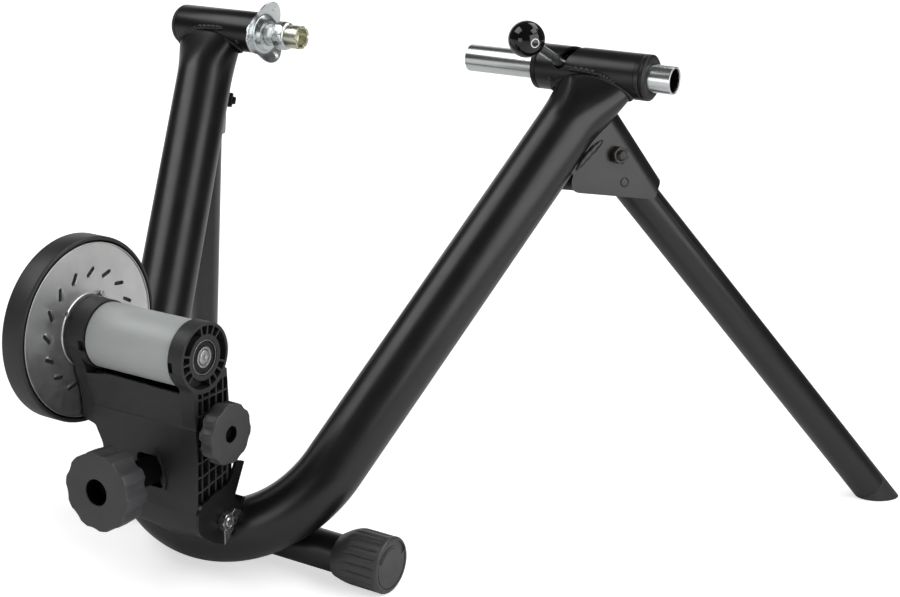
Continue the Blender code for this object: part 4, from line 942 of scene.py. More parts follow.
def dress_bracket(side, label, place):
    plate = 0.070
    outer = circle((0, 0), BRACKET_OUTER, 40, -pi / 2, -pi)
    inner = circle((0, 0), BRACKET_INNER, 40, pi / 2, pi)
    section = [(plate, -BRACKET_OUTER), *outer, (plate, BRACKET_OUTER), (plate, BRACKET_INNER), *inner]
    section.append((plate, -BRACKET_INNER))
    channel = slab(section, -0.012, 0.0855, "X")
    channel.transform(Matrix.Translation((*BRACKET_SPINE_START, 0)) @ Matrix.Rotation(BRACKET_TILT, 4, "Z"))
    to_bracket = place.inverted() @ frame_matrix()
    stations = [-0.02 + 0.005 * step for step in range(17)] + [0.10, 0.15]
    clearance = loft(upright_rings(side, stations, GAP, 72))
    clearance.transform(to_bracket)
    rivet_hole = dowel(RIVET_PLACE, RIVET_RADIUS + GAP, -0.022, -0.014)
    bracket = carve(channel, ("INTERSECT", slab(bracket_silhouette(), -0.03, 0.03)),
                    ("DIFFERENCE", clearance),
                    ("DIFFERENCE", gather([dowel((LEG_PIVOT, 0), BOLT_HOLE, -0.03, 0.03), rivet_hole])))
    dress(f"{label}_leg_bracket", bracket, "paint", place, edge=0.0005, segments=3)
    bead = [(0.0252, 0.0020), (0.0245, 0.0100), (0.0243, 0.0200), (0.0250, 0.0290), (0.0262, 0.0365)]
    bead = weld([(x, y, -BRACKET_OUTER) for x, y in bead], 0.0031, pitch=0.0080, squash=0.75, up=(0, 0, -1))
    dress(f"{label}_leg_bracket", bead, "paint", place, extra=f"{label}_bracket_weld")
    hinge = place @ Matrix.Translation((LEG_PIVOT, 0, 0)) @ rotation(-90, "Y")
    seat = BRACKET_OUTER + GAP
    dress(f"{label}_leg_pivot_bolt", hex_bolt(-seat - NUT_HEIGHT - 0.0030, seat, 0.0053), "oxide", hinge)
    dress(f"{label}_leg_pivot_nut", hex_nut(-seat - NUT_HEIGHT, -seat), "oxide", hinge)
    rivet_place = place @ Matrix.Translation((*RIVET_PLACE, 0)) @ rotation(-90, "Y")
    rivet = [(-0.0194, 0.0), (-0.0194, 0.0030), (-0.0190, RIVET_RADIUS), (-0.0166, RIVET_RADIUS),
             (-0.0166, 0.0)]
    dress(f"{label}_bracket_rivet", lathe(rivet, 0.0003, 48), "paint", rivet_place)


# Clamp and cone

def dress_clamp():
    place = AXLE_PLACE
    rod_place = place @ Matrix.Translation((LEVER_PLACE, 0, 0))
    rod_place = rod_place @ Matrix.Rotation(LEVER_ANGLE, 4, "X") @ rotation(90, "Z")
    hole = dowel((0, 0), LEVER_RADIUS + GAP, 0.003, 0.02, "X")
    hole.transform(place.inverted() @ rod_place)
    spindle = minus(pipe(SPINDLE_START, SPINDLE_END, SPINDLE_RADIUS, SPINDLE_BORE, 0.0005), hole)
    dress("clamp_spindle", spindle, "tube", place)
    # Near-black sleeve inside the spindle's open end: painted shade that keeps the bore dark.
    shade = [(0.2000, 0.0), (0.2000, SPINDLE_BORE - 0.0001), (SPINDLE_END - 0.0015, SPINDLE_BORE - 0.0001)]
    shade += [(SPINDLE_END - 0.0015, SPINDLE_BORE - 0.0005), (0.2005, SPINDLE_BORE - 0.0005), (0.2005, 0.0)]
    dress("clamp_spindle", turned(shade), "black_and_shade", place, extra="spindle_bore_painted_shade")
    core = band(0.150, 0.198, 0.0, SPINDLE_BORE - GAP)
    bore = dowel((0, 0), LEVER_RADIUS + GAP, 0.0, 0.02, "X")
    bore.transform(place.inverted() @ rod_place)
    dress("clamp_core", minus(turned(core, 48), bore), "oxide", place)

    rod_end = BALL_REACH - 0.004
    rod = band(GAP, rod_end, 0.0, LEVER_RADIUS)
    dress("clamp_lever", turned(rod, 48), "zinc", rod_place)
    profile = []
    top = atan2(BALL_FLAT, -sqrt(BALL_RADIUS ** 2 - BALL_FLAT ** 2))
    for step in range(49):
        angle = top * step / 48
        profile.append((BALL_REACH + BALL_RADIUS * cos(angle), BALL_RADIUS * sin(angle)))
    profile += [(profile[-1][0], LEVER_RADIUS + GAP), (BALL_REACH - 0.0037, LEVER_RADIUS + GAP)]
    profile.append((BALL_REACH - 0.0037, 0.0))
    dress("clamp_ball", turned(profile), "ball", rod_place)
    centre = rod_place @ Vector((BALL_REACH, 0, 0))
    outward = Vector((0.81, -0.51, -0.10)).normalized()
    turn = outward.to_track_quat("X", "Z").to_matrix().to_4x4()
    ring = []
    for reach, lift in ((0.0030, 0.00001), (0.0031, 0.00006), (0.0037, 0.00006), (0.0038, 0.00001)):
        ring.append((sqrt((BALL_RADIUS + lift) ** 2 - reach * reach), reach))
    ring += [(x - 0.0004, reach) for x, reach in ring[::-1]]
    dress("clamp_ball", turned(ring, 72, looped=True), "mark", Matrix.Translation(centre) @ turn,
          extra="ball_ring_mark")

    mouth = SPINDLE_START - 0.0008
    cup = [(0.1020, 0.0), (0.1020, SPINDLE_BORE - GAP), (mouth, SPINDLE_BORE - GAP), (mouth, 0.0083)]
    cup += [(0.0900, 0.0075), (0.0960, 0.0)]
    dress("right_axle_cup", lathe(cup, 0.0003), "oxide", place)


def dress_cone():
    place = AXLE_PLACE
    dress("lock_ring", lock_ring_shape(), "zinc", place)

    bore = 0.0064
    profile = [(-0.2150, bore), (-0.2150, NECK_RADIUS - 0.0008), (-0.2142, NECK_RADIUS),
               (-0.1310, NECK_RADIUS)]
    profile += [(-0.1305, 0.0118), (-0.1280, DOME_RADIUS), (-0.1220, DOME_RADIUS), (-0.1190, 0.0124)]
    profile += [(-0.1174, 0.0108), (-0.1174, bore)]
    cutters = []
    for side in (1, -1):
        low, high = sorted((side * 0.0122, side * 0.02))
        flat = slab(box(-0.1312, -0.1150, low, high), -0.02, 0.02)
        flat.transform(rotation(-30, "X"))
        cutters.append(flat)
    pocket = slab(box(-0.1285, -0.1200, 0.0085, 0.02), -0.0042, 0.0042)
    pocket.transform(rotation(195, "X"))
    sleeve = minus(minus(lathe(profile, 0.0008, looped=True), *cutters), pocket)
    dress("cone_sleeve", sleeve, "zinc", place, edge=0.0003)

    stem = bore - GAP
    profile = [(-0.1550, 0.0), (-0.1550, stem), (-0.1171, stem), (-0.1171, CUP_RADIUS)]
    profile += [(-0.1030, CUP_RADIUS), (-0.1030, 0.0082), (-0.1130, 0.0082), (-0.1130, 0.0)]
    notches = []
    for step in range(6):
        notch = slab(box(-0.1047, -0.1010, 0.006, 0.013), -0.0013, 0.0013)
        notch.transform(Matrix.Rotation(tau * step / 6, 4, "X"))
        notches.append(notch)
    dress("cone_cup", minus(lathe(profile, 0.0005), *notches), "gold", place, edge=0.0003)


def lock_ring_shape():
    """Pressed ring with three broad ears that lean a little towards the cup, each with a finger dimple."""
    steps = 240
    bore = NECK_RADIUS + GAP
    back = LOCK_RING_BACK
    front = back + LOCK_RING_PLATE
    hub = [(front + 0.0001, 0.0172), (front + 0.0006, 0.0165), (front + 0.0028, 0.0155),
           (LOCK_RING_FACE - 0.0012, 0.0148)]
    hub += [(LOCK_RING_FACE - 0.0003, 0.0144), (LOCK_RING_FACE, 0.0137), (LOCK_RING_FACE, bore)]
    shares = [0.0, 0.15, 0.3, 0.4, 0.5, 0.6, 0.7, 0.8, 0.9, 0.965]
    stations = [(back, bore, None)]
    stations += [(back, None, share) for share in shares]
    stations += [(back + 0.0004, None, 1.0), (front - 0.0004, None, 1.0)]
    stations += [(front, None, share) for share in shares[::-1]]
    stations += [(x, radius, None) for x, radius in hub]
    rings = []
    for x, radius, share in stations:
        ring = []
        for step in range(steps):
            angle = tau * step / steps
            nearest = min((abs(remainder(angle - ear, tau)) for ear in EAR_ANGLES))
            share_out = (0.5 + 0.5 * cos(3 * nearest)) ** 0.9
            reach = LOCK_RING_RADIUS + (EAR_REACH - LOCK_RING_RADIUS) * share_out
            out = radius if radius else LOCK_RING_FLAT + (reach - LOCK_RING_FLAT) * share
            bend = EAR_BEND * max(0.0, (out - LOCK_RING_FLAT) / (EAR_REACH - LOCK_RING_FLAT)) ** 1.6
            away = hypot(out * cos(nearest) - 0.0258, out * sin(nearest)) / 0.0036
            dimple = 0.0009 * (0.5 + 0.5 * cos(pi * min(away, 1.0))) if share else 0.0
            ring.append((x + bend - dimple, out * cos(angle), out * sin(angle)))
        rings.append(ring)
    return loft(rings, looped=True)


# Resistance unit

def plane_outline(*corners):
    """Corners given down the frame and behind its plane."""
    return [tuple(on_frame(0, down, -behind).yz) for down, behind in corners]


def dress_pivot_bracket():
    base = plane_outline((0.425, 0.0257), (0.459, 0.0257), (0.459, 0.0287), (0.425, 0.0287))
    lower, upper = (-0.2975, 0.0385), (-0.2768, 0.0650)
    ear = [(-0.2733, 0.1010, 0.0008), (-0.2822, 0.1042, 0.0008), (-0.2915, 0.0868, 0.014)]
    ear += [(-0.3110, 0.0838, 0.016), (-0.3285, 0.0775, 0.010), (-0.3295, 0.0570, 0.014)]
    ear += [(-0.3110, 0.0445, 0.020), lower, upper, (-0.2852, 0.0745, 0.004)]
    nut = BARREL_NUT.yz
    foot = plane_outline((0.4600, 0.0270), (0.4270, 0.0270))
    cheek = [(nut[0] - 0.0105, nut[1] - 0.005), (nut[0] - 0.0105, nut[1] + 0.0105, 0.009)]
    cheek += [(nut[0] + 0.0105, nut[1] + 0.0105, 0.009), (nut[0] + 0.0105, nut[1] - 0.005), foot[1],
              foot[0]]
    plates = []
    for outline, inner, outer in ((ear, EAR_INNER, EAR_OUTER), (cheek, CHEEK_INNER, CHEEK_OUTER)):
        plates += [slab(rounded(outline), low, high, "X") for low,
                   high in ((inner, outer), (-outer, -inner))]
    holes = [dowel(YOKE_PIVOT.yz, BOLT_HOLE, -0.06, 0.06, "X"), dowel(nut, BOLT_HOLE, -0.03, 0.03, "X")]
    bracket = carve(slab(base, -EAR_OUTER, EAR_OUTER, "X"), ("UNION", gather(plates)),
                    ("DIFFERENCE", gather(holes)))
    dress("pivot_bracket", bracket, "paint", edge=0.0011, segments=3)
    # A bright steel strip stands proud of the ear's outer face along its lower edge.
    strip = [(-0.2782, 0.0612), (-0.2857, 0.0650), (-0.2984, 0.0524), (-0.2976, 0.0384), (-0.2896, 0.0457)]
    strip.append((-0.2775, 0.0582))
    dress("pivot_bracket", slab(strip, EAR_OUTER - 0.0010, EAR_OUTER + 0.0008, "X"), "steel", edge=0.0004,
          extra="pivot_bracket_bright_strip")
    seat = EAR_OUTER + GAP
    flipped = Matrix.Translation(YOKE_PIVOT) @ Matrix.Rotation(pi, 4, "Z")
    dress("yoke_pivot_bolt", hex_bolt(-seat - NUT_HEIGHT - 0.0008, seat, 0.0053), "steel", flipped)
    dress("yoke_pivot_nut", hex_nut(-seat - NUT_HEIGHT, -seat), "steel", flipped)


def lattice_cells():
    left = YOKE_FRONT + 0.0024
    right = YOKE_BACK - 0.0024
    columns = [left - RIB / 2, *RIB_COLUMNS, right + RIB / 2]
    hub = HUB_RADIUS + 0.0012
    cells = []
    for column in range(len(columns) - 1):
        low_y = columns[column] + RIB / 2
        high_y = columns[column + 1] - RIB / 2
        for row in range(len(RIB_ROWS) + 1):
            bottom = [(y, rib_height(row - 1, y) + RIB / 2) for y in (low_y, high_y)]
            if row < len(RIB_ROWS):
                top = [(y, rib_height(row, y) - RIB / 2) for y in (high_y, low_y)]
            else:
                top = []
                for share in (1.0, 0.8, 0.6, 0.4, 0.2, 0.0):
                    y = low_y + (high_y - low_y) * share
                    wall = ROLLER_AXIS.z - sqrt(max(hub ** 2 - (y - ROLLER_AXIS.y) ** 2, 0.0))
                    top.append((y, min(wall, 0.1745)))
                if top[0][1] - bottom[1][1] < 0.001 or top[-1][1] - bottom[0][1] < 0.001:
                    continue
            through = column == len(columns) - 3 and row == len(RIB_ROWS) - 1
            depth = 0.02 if through else RIB_DEPTH
            cells.append(slab(bottom + top, ARM_OUTER - depth, ARM_OUTER + 0.002, "X"))
    return cells


def rib_height(row, y):
    if row < 0:
        return 0.0775
    level = RIB_ROWS[row]
    share = (level - RIB_ROWS[0]) / (RIB_ROWS[-1] - RIB_ROWS[0])
    slope = RIB_SLOPE_LOW + (RIB_SLOPE_HIGH - RIB_SLOPE_LOW) * share
    return level + slope * max(0.0, y - RIB_COLUMNS[0])


def hub_pockets():
    spokes = [radians(POCKET_START + 120 * group + offset)
              for group in range(3) for offset in (-27, -9, 9, 27)]
    pockets = []
    centre = ROLLER_AXIS.yz
    margin_in = RIB / 2 / POCKET_INNER
    margin_out = RIB / 2 / POCKET_OUTER
    for index, start in enumerate(spokes):
        end = spokes[(index + 1) % len(spokes)]
        turn = (end - start) % tau
        steps = max(3, round(turn / radians(5)))
        outer = circle(centre, POCKET_OUTER, steps, start + margin_out, turn - 2 * margin_out)
        inner = circle(centre, POCKET_INNER, steps, end - margin_in, -(turn - 2 * margin_in))
        pockets.append(slab(outer + inner, ARM_OUTER - POCKET_DEPTH, ARM_OUTER + 0.002, "X"))
    return pockets


def dress_yoke():
    front = YOKE_FRONT
    back = YOKE_BACK
    pivot = YOKE_PIVOT.yz
    centre = ROLLER_AXIS.yz
    wall = [(YOKE_LEFT, WALL_TOP), (YOKE_LEFT, 0.1260, 0.004), (-0.0580, 0.1230, 0.004)]
    wall += [(-0.0510, 0.1090, 0.010), (-0.0450, 0.0692), (0.0445, 0.0692), (0.0445, 0.1652),
             (-0.0560, 0.1676)]
    proud = front - 0.004
    lobe = [(back, 0.0740), (pivot[0] + 0.0125, pivot[1] - 0.0125, 0.0122), (-0.3100, 0.0440, 0.012)]
    lobe += [(-0.3162, 0.0692), (proud, 0.0692)]
    arm = [(proud, 0.1500), (back, 0.1543)] + lobe
    low_arm = [(proud, 0.1350), (back, 0.1350)] + lobe
    # One plane runs down the wall and both arms, leaning back below the crease
    plane = [(front, 0.190), (front, 0.1402), (front - 0.0005, 0.1390), (front - 0.0001, 0.1376)]
    plane += [(front + 0.0025, 0.071), (front + 0.0025, 0.048, 0.006)]
    plane += [(front + 0.012, 0.040), (0.0, 0.040), (0.0, 0.190)]
    # Above it the arms swell forwards until they meet the hubs
    right = [(back, 0.1500), (back, 0.1543), (-0.2905, 0.1813), (-0.3365, 0.1779), (-0.3299, 0.1708, 0.006)]
    right += [(-0.3292, 0.1615), (-0.3284, 0.1523), (front, 0.1420, 0.020), (front, 0.1400),
              (-0.3215, 0.1400)]
    left = [(back, 0.1265), (back, 0.1543), (-0.2905, 0.1813), (-0.3400, 0.1820), (-0.3356, 0.1728)]
    left += [(-0.3321, 0.1606, 0.050), (-0.3280, 0.1463, 0.030), (front, 0.1345, 0.020), (front, 0.1265)]
    floor = box(-0.3235, back - 0.001, 0.1265, 0.1335)
    thin = box(-0.3240, -0.3100, 0.1500, 0.1700)
    arms = [slab(rounded(arm), ARM_INNER, ARM_OUTER, "X"),
            slab(rounded(low_arm), -ARM_OUTER, -ARM_INNER, "X")]
    swells = [slab(rounded(right), ARM_INNER, ARM_OUTER, "X"), slab(rounded(left), YOKE_LEFT, -0.0590, "X")]
    swells += [dowel(centre, HUB_RADIUS, ARM_INNER, ARM_OUTER, "X", steps=120),
               dowel(centre, HUB_RADIUS, -0.0717, -0.0530, "X", steps=120),
               slab(floor, YOKE_LEFT + 0.001, -0.0325, "X"), left_ramp()]
    steps = [("UNION", shape) for shape in arms]
    steps.append(("INTERSECT", slab(rounded(plane), -0.08, 0.08, "X")))
    steps += [("UNION", shape) for shape in swells]
    steps.append(("DIFFERENCE", gather(lattice_cells() + hub_pockets())))
    steps.append(("UNION", dowel(SIDE_KNOB_PLACE.yz, 0.0095, ARM_INNER + 0.001, ARM_OUTER + 0.002, "X")))
    bores = [dowel(pivot, BOLT_HOLE, -0.06, 0.06, "X"), slab(thin, -0.0528, ARM_INNER - 0.0002, "X")]
    bores.append(dowel(SIDE_KNOB_PLACE.yz, BOLT_HOLE, ARM_INNER - 0.002, ARM_OUTER + 0.004, "X"))
    window = [(-0.0155, 0.0840), (0.0118, 0.0840), (0.0059, 0.1100), (-0.0155, 0.1100)]
    bores.append(slab(rounded([(*corner, 0.004) for corner in window]), -0.335, -0.310, "Y"))
    for low, high in ((-0.0585, -0.0520), (0.0318, 0.0358)):
        turn = radians(18)
        notch = circle(centre, 0.0290, 6, pi, turn) + circle(centre, 0.0232, 6, pi + turn, -turn)
        bores.append(slab(notch, low, high, "X"))
    seat = BEARING_RADIUS + GAP
    for stop, mouth, inside in ((0.0355, 0.047, 0.030), (-0.0600, -0.074, -0.0515)):
        bore = turned([(inside, 0.0), (inside, 0.0085), (stop, 0.0085), (stop, seat), (mouth, seat),
                       (mouth, 0.0)], 72)
        bore.transform(Matrix.Translation(ROLLER_AXIS))
        bores.append(bore)
    for angle in range(3):
        turn = radians(90 + 120 * angle)
        spot = (centre[0] + FIXING_CIRCLE * cos(turn), centre[1] + FIXING_CIRCLE * sin(turn))
        bores.append(dowel(spot, FIXING_RADIUS + GAP, -0.075, -0.061, "X", steps=24))
    steps.append(("DIFFERENCE", gather(bores)))
    dress("yoke", carve(slab(rounded(wall), -0.335, -0.3205, "Y"), *steps), "plastic", edge=0.0003)
    dress_yoke_trim(window)


def left_ramp():
    """Fills the corner between the wall and the left arm, whose front swells forwards there."""
    line = [(-0.3339, 0.1672), (-0.3322, 0.1600), (-0.3306, 0.1540), (-0.3280, 0.1463), (-0.3269, 0.1400),
            (YOKE_FRONT, 0.1345), (YOKE_FRONT, 0.1265)]
    rings = []
    for step in range(9):
        share = step / 8
        ease = share * share * (3 - 2 * share)
        x = -0.0592 + 0.0200 * share
        ring = [(x, -0.3215, 0.1265), (x, -0.3215, 0.1672)]
        ring += [(x, y + (YOKE_FRONT + 0.0004 - y) * ease, z) for y, z in line]
        rings.append(ring)
    return loft(rings)


def dress_yoke_trim(window):
    """Pocket behind the bolt's window, the rib beside it, webs behind the slit, skirt below; the pocket and
    the webs are near-black as painted shade.
    """
    middle = Vector((-0.004, 0.097))
    grown = [tuple(Vector(corner) + (Vector(corner) - middle).normalized() * 0.0018) for corner in window]
    # The bolt tilts in the pocket as the yoke swings, so the pocket's back is open along its way
    slot = box(-0.0056, 0.0056, 0.0800, 0.1130)
    pocket = minus(slab(grown, -0.3212, -0.3050, "Y"), slab(window, -0.3300, -0.3062, "Y"),
                   slab(slot, -0.3200, -0.3000, "Y"))
    # The pocket is near-black: painted shade in the window.
    dress("yoke", pocket, "black_and_shade", extra="yoke_painted_shade_pocket")
    rib = [(0.0040, 0.1175), (0.0052, 0.1100), (0.0066, 0.1020), (0.0083, 0.0945), (0.0105, 0.0880),
           (0.0132, 0.0838)]
    rib += [(0.0142, 0.0900), (0.0130, 0.0960), (0.0111, 0.1020), (0.0088, 0.1080), (0.0064, 0.1135)]
    dress("yoke", slab(rib, -0.3264, -0.3240, "Y"), "plastic", edge=0.0004, extra="yoke_rib")
    # Near-black webs behind the slit and behind the lattice's gap: painted shade where only shadow shows.
    low = box(-0.3236, -0.3050, 0.1500, 0.1515)
    high = [(-0.3055, 0.1500), (-0.2885, 0.1500), (-0.2885, 0.1690), (-0.2900, 0.1690), (-0.2900, 0.1515)]
    high.append((-0.3055, 0.1515))
    end = [(-0.3240, 0.1480), (-0.2885, 0.1480), (-0.2885, 0.1690), (-0.2960, 0.1720), (-0.3240, 0.1708)]
    shade = [slab(low, -0.0523, ARM_INNER - 0.0004, "X"), slab(high, -0.0523, 0.0200, "X"),
             slab(end, -0.0529, -0.0524, "X")]
    shade.append(slab(box(-0.2878, -0.2800, 0.0880, 0.1180), 0.0330, 0.0420, "X"))
    dress("yoke", gather(shade), "black_and_shade", extra="yoke_painted_shade_webs")
    dress("yoke", yoke_skirt(), "plastic", extra="yoke_skirt")


def yoke_skirt():
    """Curved web from the wall's lower edge to just above the frame tube's bend."""
    rings = []
    for step in range(25):
        x = 0.0448 * (step / 12 - 1)
        turn = asin(x / BEND_RADIUS)
        centre = on_frame(x, BEND_CENTRE + BEND_RADIUS * cos(turn))
        reach = TUBE_RADIUS / cos(turn) + 0.0026
        ends = [(centre.y - reach * cos(radians(rise)), centre.z + reach * sin(radians(rise)))
                for rise in (6, 15)]
        outer = [(-0.3188, 0.0735), (-0.3180, 0.0660), (-0.3160, 0.0580), (-0.3120, 0.0500),
                 (-0.3050, 0.0430), ends[0]]
        inner = [ends[1], (-0.3040, 0.0455), (-0.3102, 0.0515), (-0.3140, 0.0590), (-0.3160, 0.0665),
                 (-0.3168, 0.0735)]
        rings.append([(x, y, z) for y, z in outer + inner])
    return loft(rings)


def dress_unit():
    place = Matrix.Translation(ROLLER_AXIS)
    dress_yoke()
    races = ((0.0130, BEARING_RADIUS), (SHAFT_RADIUS + GAP, 0.0084))
    for label, low, high, out in (("right", 0.0359, 0.0445, 1), ("left", -0.0690, -0.0604, -1)):
        dress(f"{label}_bearing", bearing_shape(low, high), "shield", place)
        for number, (inner, outer) in enumerate(races, 1):
            face = high if out > 0 else low
            rim = softened([(face, inner), (face, outer - 0.0001), (face + out * 0.00012, outer - 0.0002),
                            (face + out * 0.00012, inner + 0.0001)], 0.00004, True)
            dress(f"{label}_bearing", turned(rim, looped=True), "steel", place,
                  extra=f"{label}_bearing_race_{number}")
    dress_magnet_plate(place)
    wall = 0.003
    bore = SHAFT_RADIUS + GAP
    roller = band(ROLLER_LEFT, ROLLER_RIGHT, bore, ROLLER_RADIUS)
    roller += [(ROLLER_RIGHT - 0.005, bore), (ROLLER_RIGHT - 0.005, ROLLER_RADIUS - wall)]
    roller += [(ROLLER_LEFT + 0.005, ROLLER_RADIUS - wall), (ROLLER_LEFT + 0.005, bore)]
    dress("roller", lathe(roller, 0.0006, 128, looped=True), "roller", place)
    shaft = [(-0.0912, 0.0), (-0.0912, SHAFT_RADIUS), (0.0452, SHAFT_RADIUS), (0.0452, 0.0022),
             (0.0444, 0.0)]
    dress("roller_shaft", lathe(shaft, 0.0006, 64), "steel", place)
    rotor = band(-0.0835, -0.0808, bore, 0.066)
    dress("rotor_disc", lathe(rotor, 0.0003, looped=True), "turned", place)
    dress("flywheel", flywheel_shape(bore), "iron", place)
    dress("flywheel_nut", hex_nut(-0.0908, -0.0862, bore, 0.0095), "steel", place)


def bearing_shape(low, high):
    sunk = 0.0009
    bore = SHAFT_RADIUS + GAP
    profile = [(low, bore), (low, 0.0085), (low + sunk, 0.0087), (low + sunk, 0.0120), (low, 0.0122)]
    profile += [(low, BEARING_RADIUS), (high, BEARING_RADIUS), (high, 0.0122), (high - sunk, 0.0120)]
    profile += [(high - sunk, 0.0087), (high, 0.0085), (high, bore)]
    return lathe(profile, 0.0002, looped=True)


def flywheel_shape(bore):
    inner = PLATE_RADIUS + 0.0014
    back = FLYWHEEL_BACK
    front = FLYWHEEL_FRONT
    profile = [(back + 0.0066, bore), (back + 0.0066, 0.0130), (back, 0.0140),
               (back, FLYWHEEL_RADIUS - 0.0020)]
    profile += [(back + 0.0020, FLYWHEEL_RADIUS), (front - 0.0012, FLYWHEEL_RADIUS)]
    profile += [(front, FLYWHEEL_RADIUS - 0.0012), (front, inner), (back + 0.0070, inner),
                (back + 0.0070, 0.0160)]
    profile += [(back + 0.0087, 0.0150), (back + 0.0087, bore)]
    return lathe(profile, 0.0010, 160, looped=True)


def to_slot(shape, step):
    """Move a shape drawn round the plate's centre to one of its slots."""
    shape.transform(Matrix.Translation((0, SLOT_CIRCLE, 0)) @ Matrix.Rotation(SLOT_SLANT, 4, "X"))
    shape.transform(Matrix.Rotation(SLOT_START + tau * step / SLOT_COUNT, 4, "X"))
    return shape


def louvre_hoods(face):
    """Pressed hood along the inner side of every slot."""
    hoods = []
    for step in range(SLOT_COUNT):
        rings = []
        for station in range(13):
            along = -1 + station / 6
            height = 0.0005 * sqrt(max(1 - along * along, 0.0)) + 0.00001
            place = along * 0.0046
            section = [(-0.0003, -0.0014), (height, -0.0015), (height * 0.86, -0.0024),
                       (height * 0.4, -0.0034)]
            section.append((-0.0003, -0.0044))
            rings.append([(face + lift, place, side) for lift, side in section])
        hoods.append(to_slot(loft(rings), step))
    return hoods


def dress_magnet_plate(place):
    face = PLATE_FACE
    rim = PLATE_RADIUS
    lip = face + 0.0005
    profile = [(face - PLATE_THICKNESS, 0.0125), (face - PLATE_THICKNESS, rim), (face + 0.0008, rim),
               (face + 0.0008, rim - 0.0008)]
    profile += [(face, rim - 0.0015), (face, 0.0306), (lip, 0.0300)]
    profile += [(lip, 0.0288), (face, 0.0282), (face, 0.0125)]
    slots = []
    half = 0.0037
    end = 0.0016
    outline = circle((half, 0), end, 8, -pi / 2, pi) + circle((-half, 0), end, 8, pi / 2, pi)
    for step in range(SLOT_COUNT):
        slots.append(to_slot(slab(outline, face - 0.004, face + 0.004, "X"), step))
    screw_turns = [radians(79 * step - 15) for step in range(3)]
    fixing_turns = [radians(90 + 120 * step) for step in range(3)]
    holes = ((screw_turns, SCREW_CIRCLE, SCREW_RADIUS + GAP),
             (fixing_turns, FIXING_CIRCLE, FIXING_RADIUS + GAP))
    for turns, reach, radius in holes:
        for turn in turns:
            spot = (reach * cos(turn), reach * sin(turn))
            slots.append(dowel(spot, radius, face - 0.004, face + 0.004, "X", steps=24))
    outline = softened(profile, 0.0003, True)
    corner = next(index for index, point in enumerate(outline) if index > 6 and point[1] < 0.032)
    outline[corner:corner] = [(face, 0.0345), (face, 0.0335)]
    plate = minus(turned(outline, 160, looped=True), *slots)
    dress("magnet_plate", plate, "plate", place)
    dress("magnet_plate", gather(louvre_hoods(face)), "plate", place, extra="magnet_plate_louvres")

    ring_face = face - PLATE_THICKNESS - GAP
    ring_back = ring_face - 0.0045
    profile = band(ring_back, ring_face, 0.0262, 0.0610)
    dress("magnet_ring", lathe(profile, 0.0004, looped=True), "iron", place)
    for number, turn in enumerate(screw_turns, 1):
        spot = (0.0, SCREW_CIRCLE * cos(turn), SCREW_CIRCLE * sin(turn))
        screw = hex_bolt(ring_back + 0.0005, lip + GAP, 0.0016, SCREW_RADIUS, SCREW_HEAD, 0.0006)
        dress(f"magnet_ring_screw_{number}", screw, "steel", place @ Matrix.Translation(spot))
    for number, turn in enumerate(fixing_turns, 1):
        spot = (0.0, FIXING_CIRCLE * cos(turn), FIXING_CIRCLE * sin(turn))
        head = face - PLATE_THICKNESS - GAP
        screw = [(-0.0615, 0.0), (-0.0615, FIXING_RADIUS), (head, FIXING_RADIUS), (head, 0.0038)]
        screw += [(head - 0.0022, 0.0030), (head - 0.0022, 0.0)]
        dress(f"plate_screw_{number}", lathe(screw, 0.0003, 32), "steel", place @ Matrix.Translation(spot))


# Knobs

def knob_form(radius, face, depth):
    """Ring form with ten crisp scallops, each over a share of its pitch, that deepen behind the face."""
    def form(x, reach, angle):
        if reach < radius * 0.85:
            return reach
        place = (angle * SCALLOPS / tau) % 1.0
        dip = sin(pi * min(place / SCALLOP_SHARE, 1.0)) ** 0.8
        return reach - depth * dip * (0.45 + 0.55 * min(max((face - x) / 0.010, 0.0), 1.0))
    return form


def dress_knob(node, place, base, face, radius, boss, cut, hole, well):
    """A scalloped knob on a thin dark boss, with a near-black cup in its hole as painted shade."""
    boss_radius, boss_top = boss
    cut_depth, start = cut
    hole_radius, hole_depth = hole
    bottom = face - hole_depth
    profile = [(face, hole_radius, 0.0007), (face, radius - 0.0003, 0.0012)]
    profile += [(face - 0.0025 * step, radius) for step in range(1, 5)]
    profile += [(base + start, radius - 0.0012, 0.0010), (base + start, BOLT_HOLE), (bottom, BOLT_HOLE)]
    profile.append((bottom, hole_radius))
    knob = turned(rounded(profile, radians(15)), 360, looped=True, form=knob_form(radius, face, cut_depth))
    dress(node, knob, "rubber", place)
    dress(node, pipe(base, base + boss_top, boss_radius, BOLT_HOLE), "black_and_shade", place, extra=f"{node}_boss")
    # The cup in the hole is painted shade that keeps the hole dark.
    low, top = face - well[0], face - well[1]
    out = hole_radius + 0.0002
    wall = hole_radius - 0.0002
    lining = [(low - 0.0003, 0.0), (low - 0.0003, out), (top, out), (top, wall), (low, wall), (low, 0.0)]
    dress(node, turned(lining), "black_and_shade", place, extra=f"{node}_well")


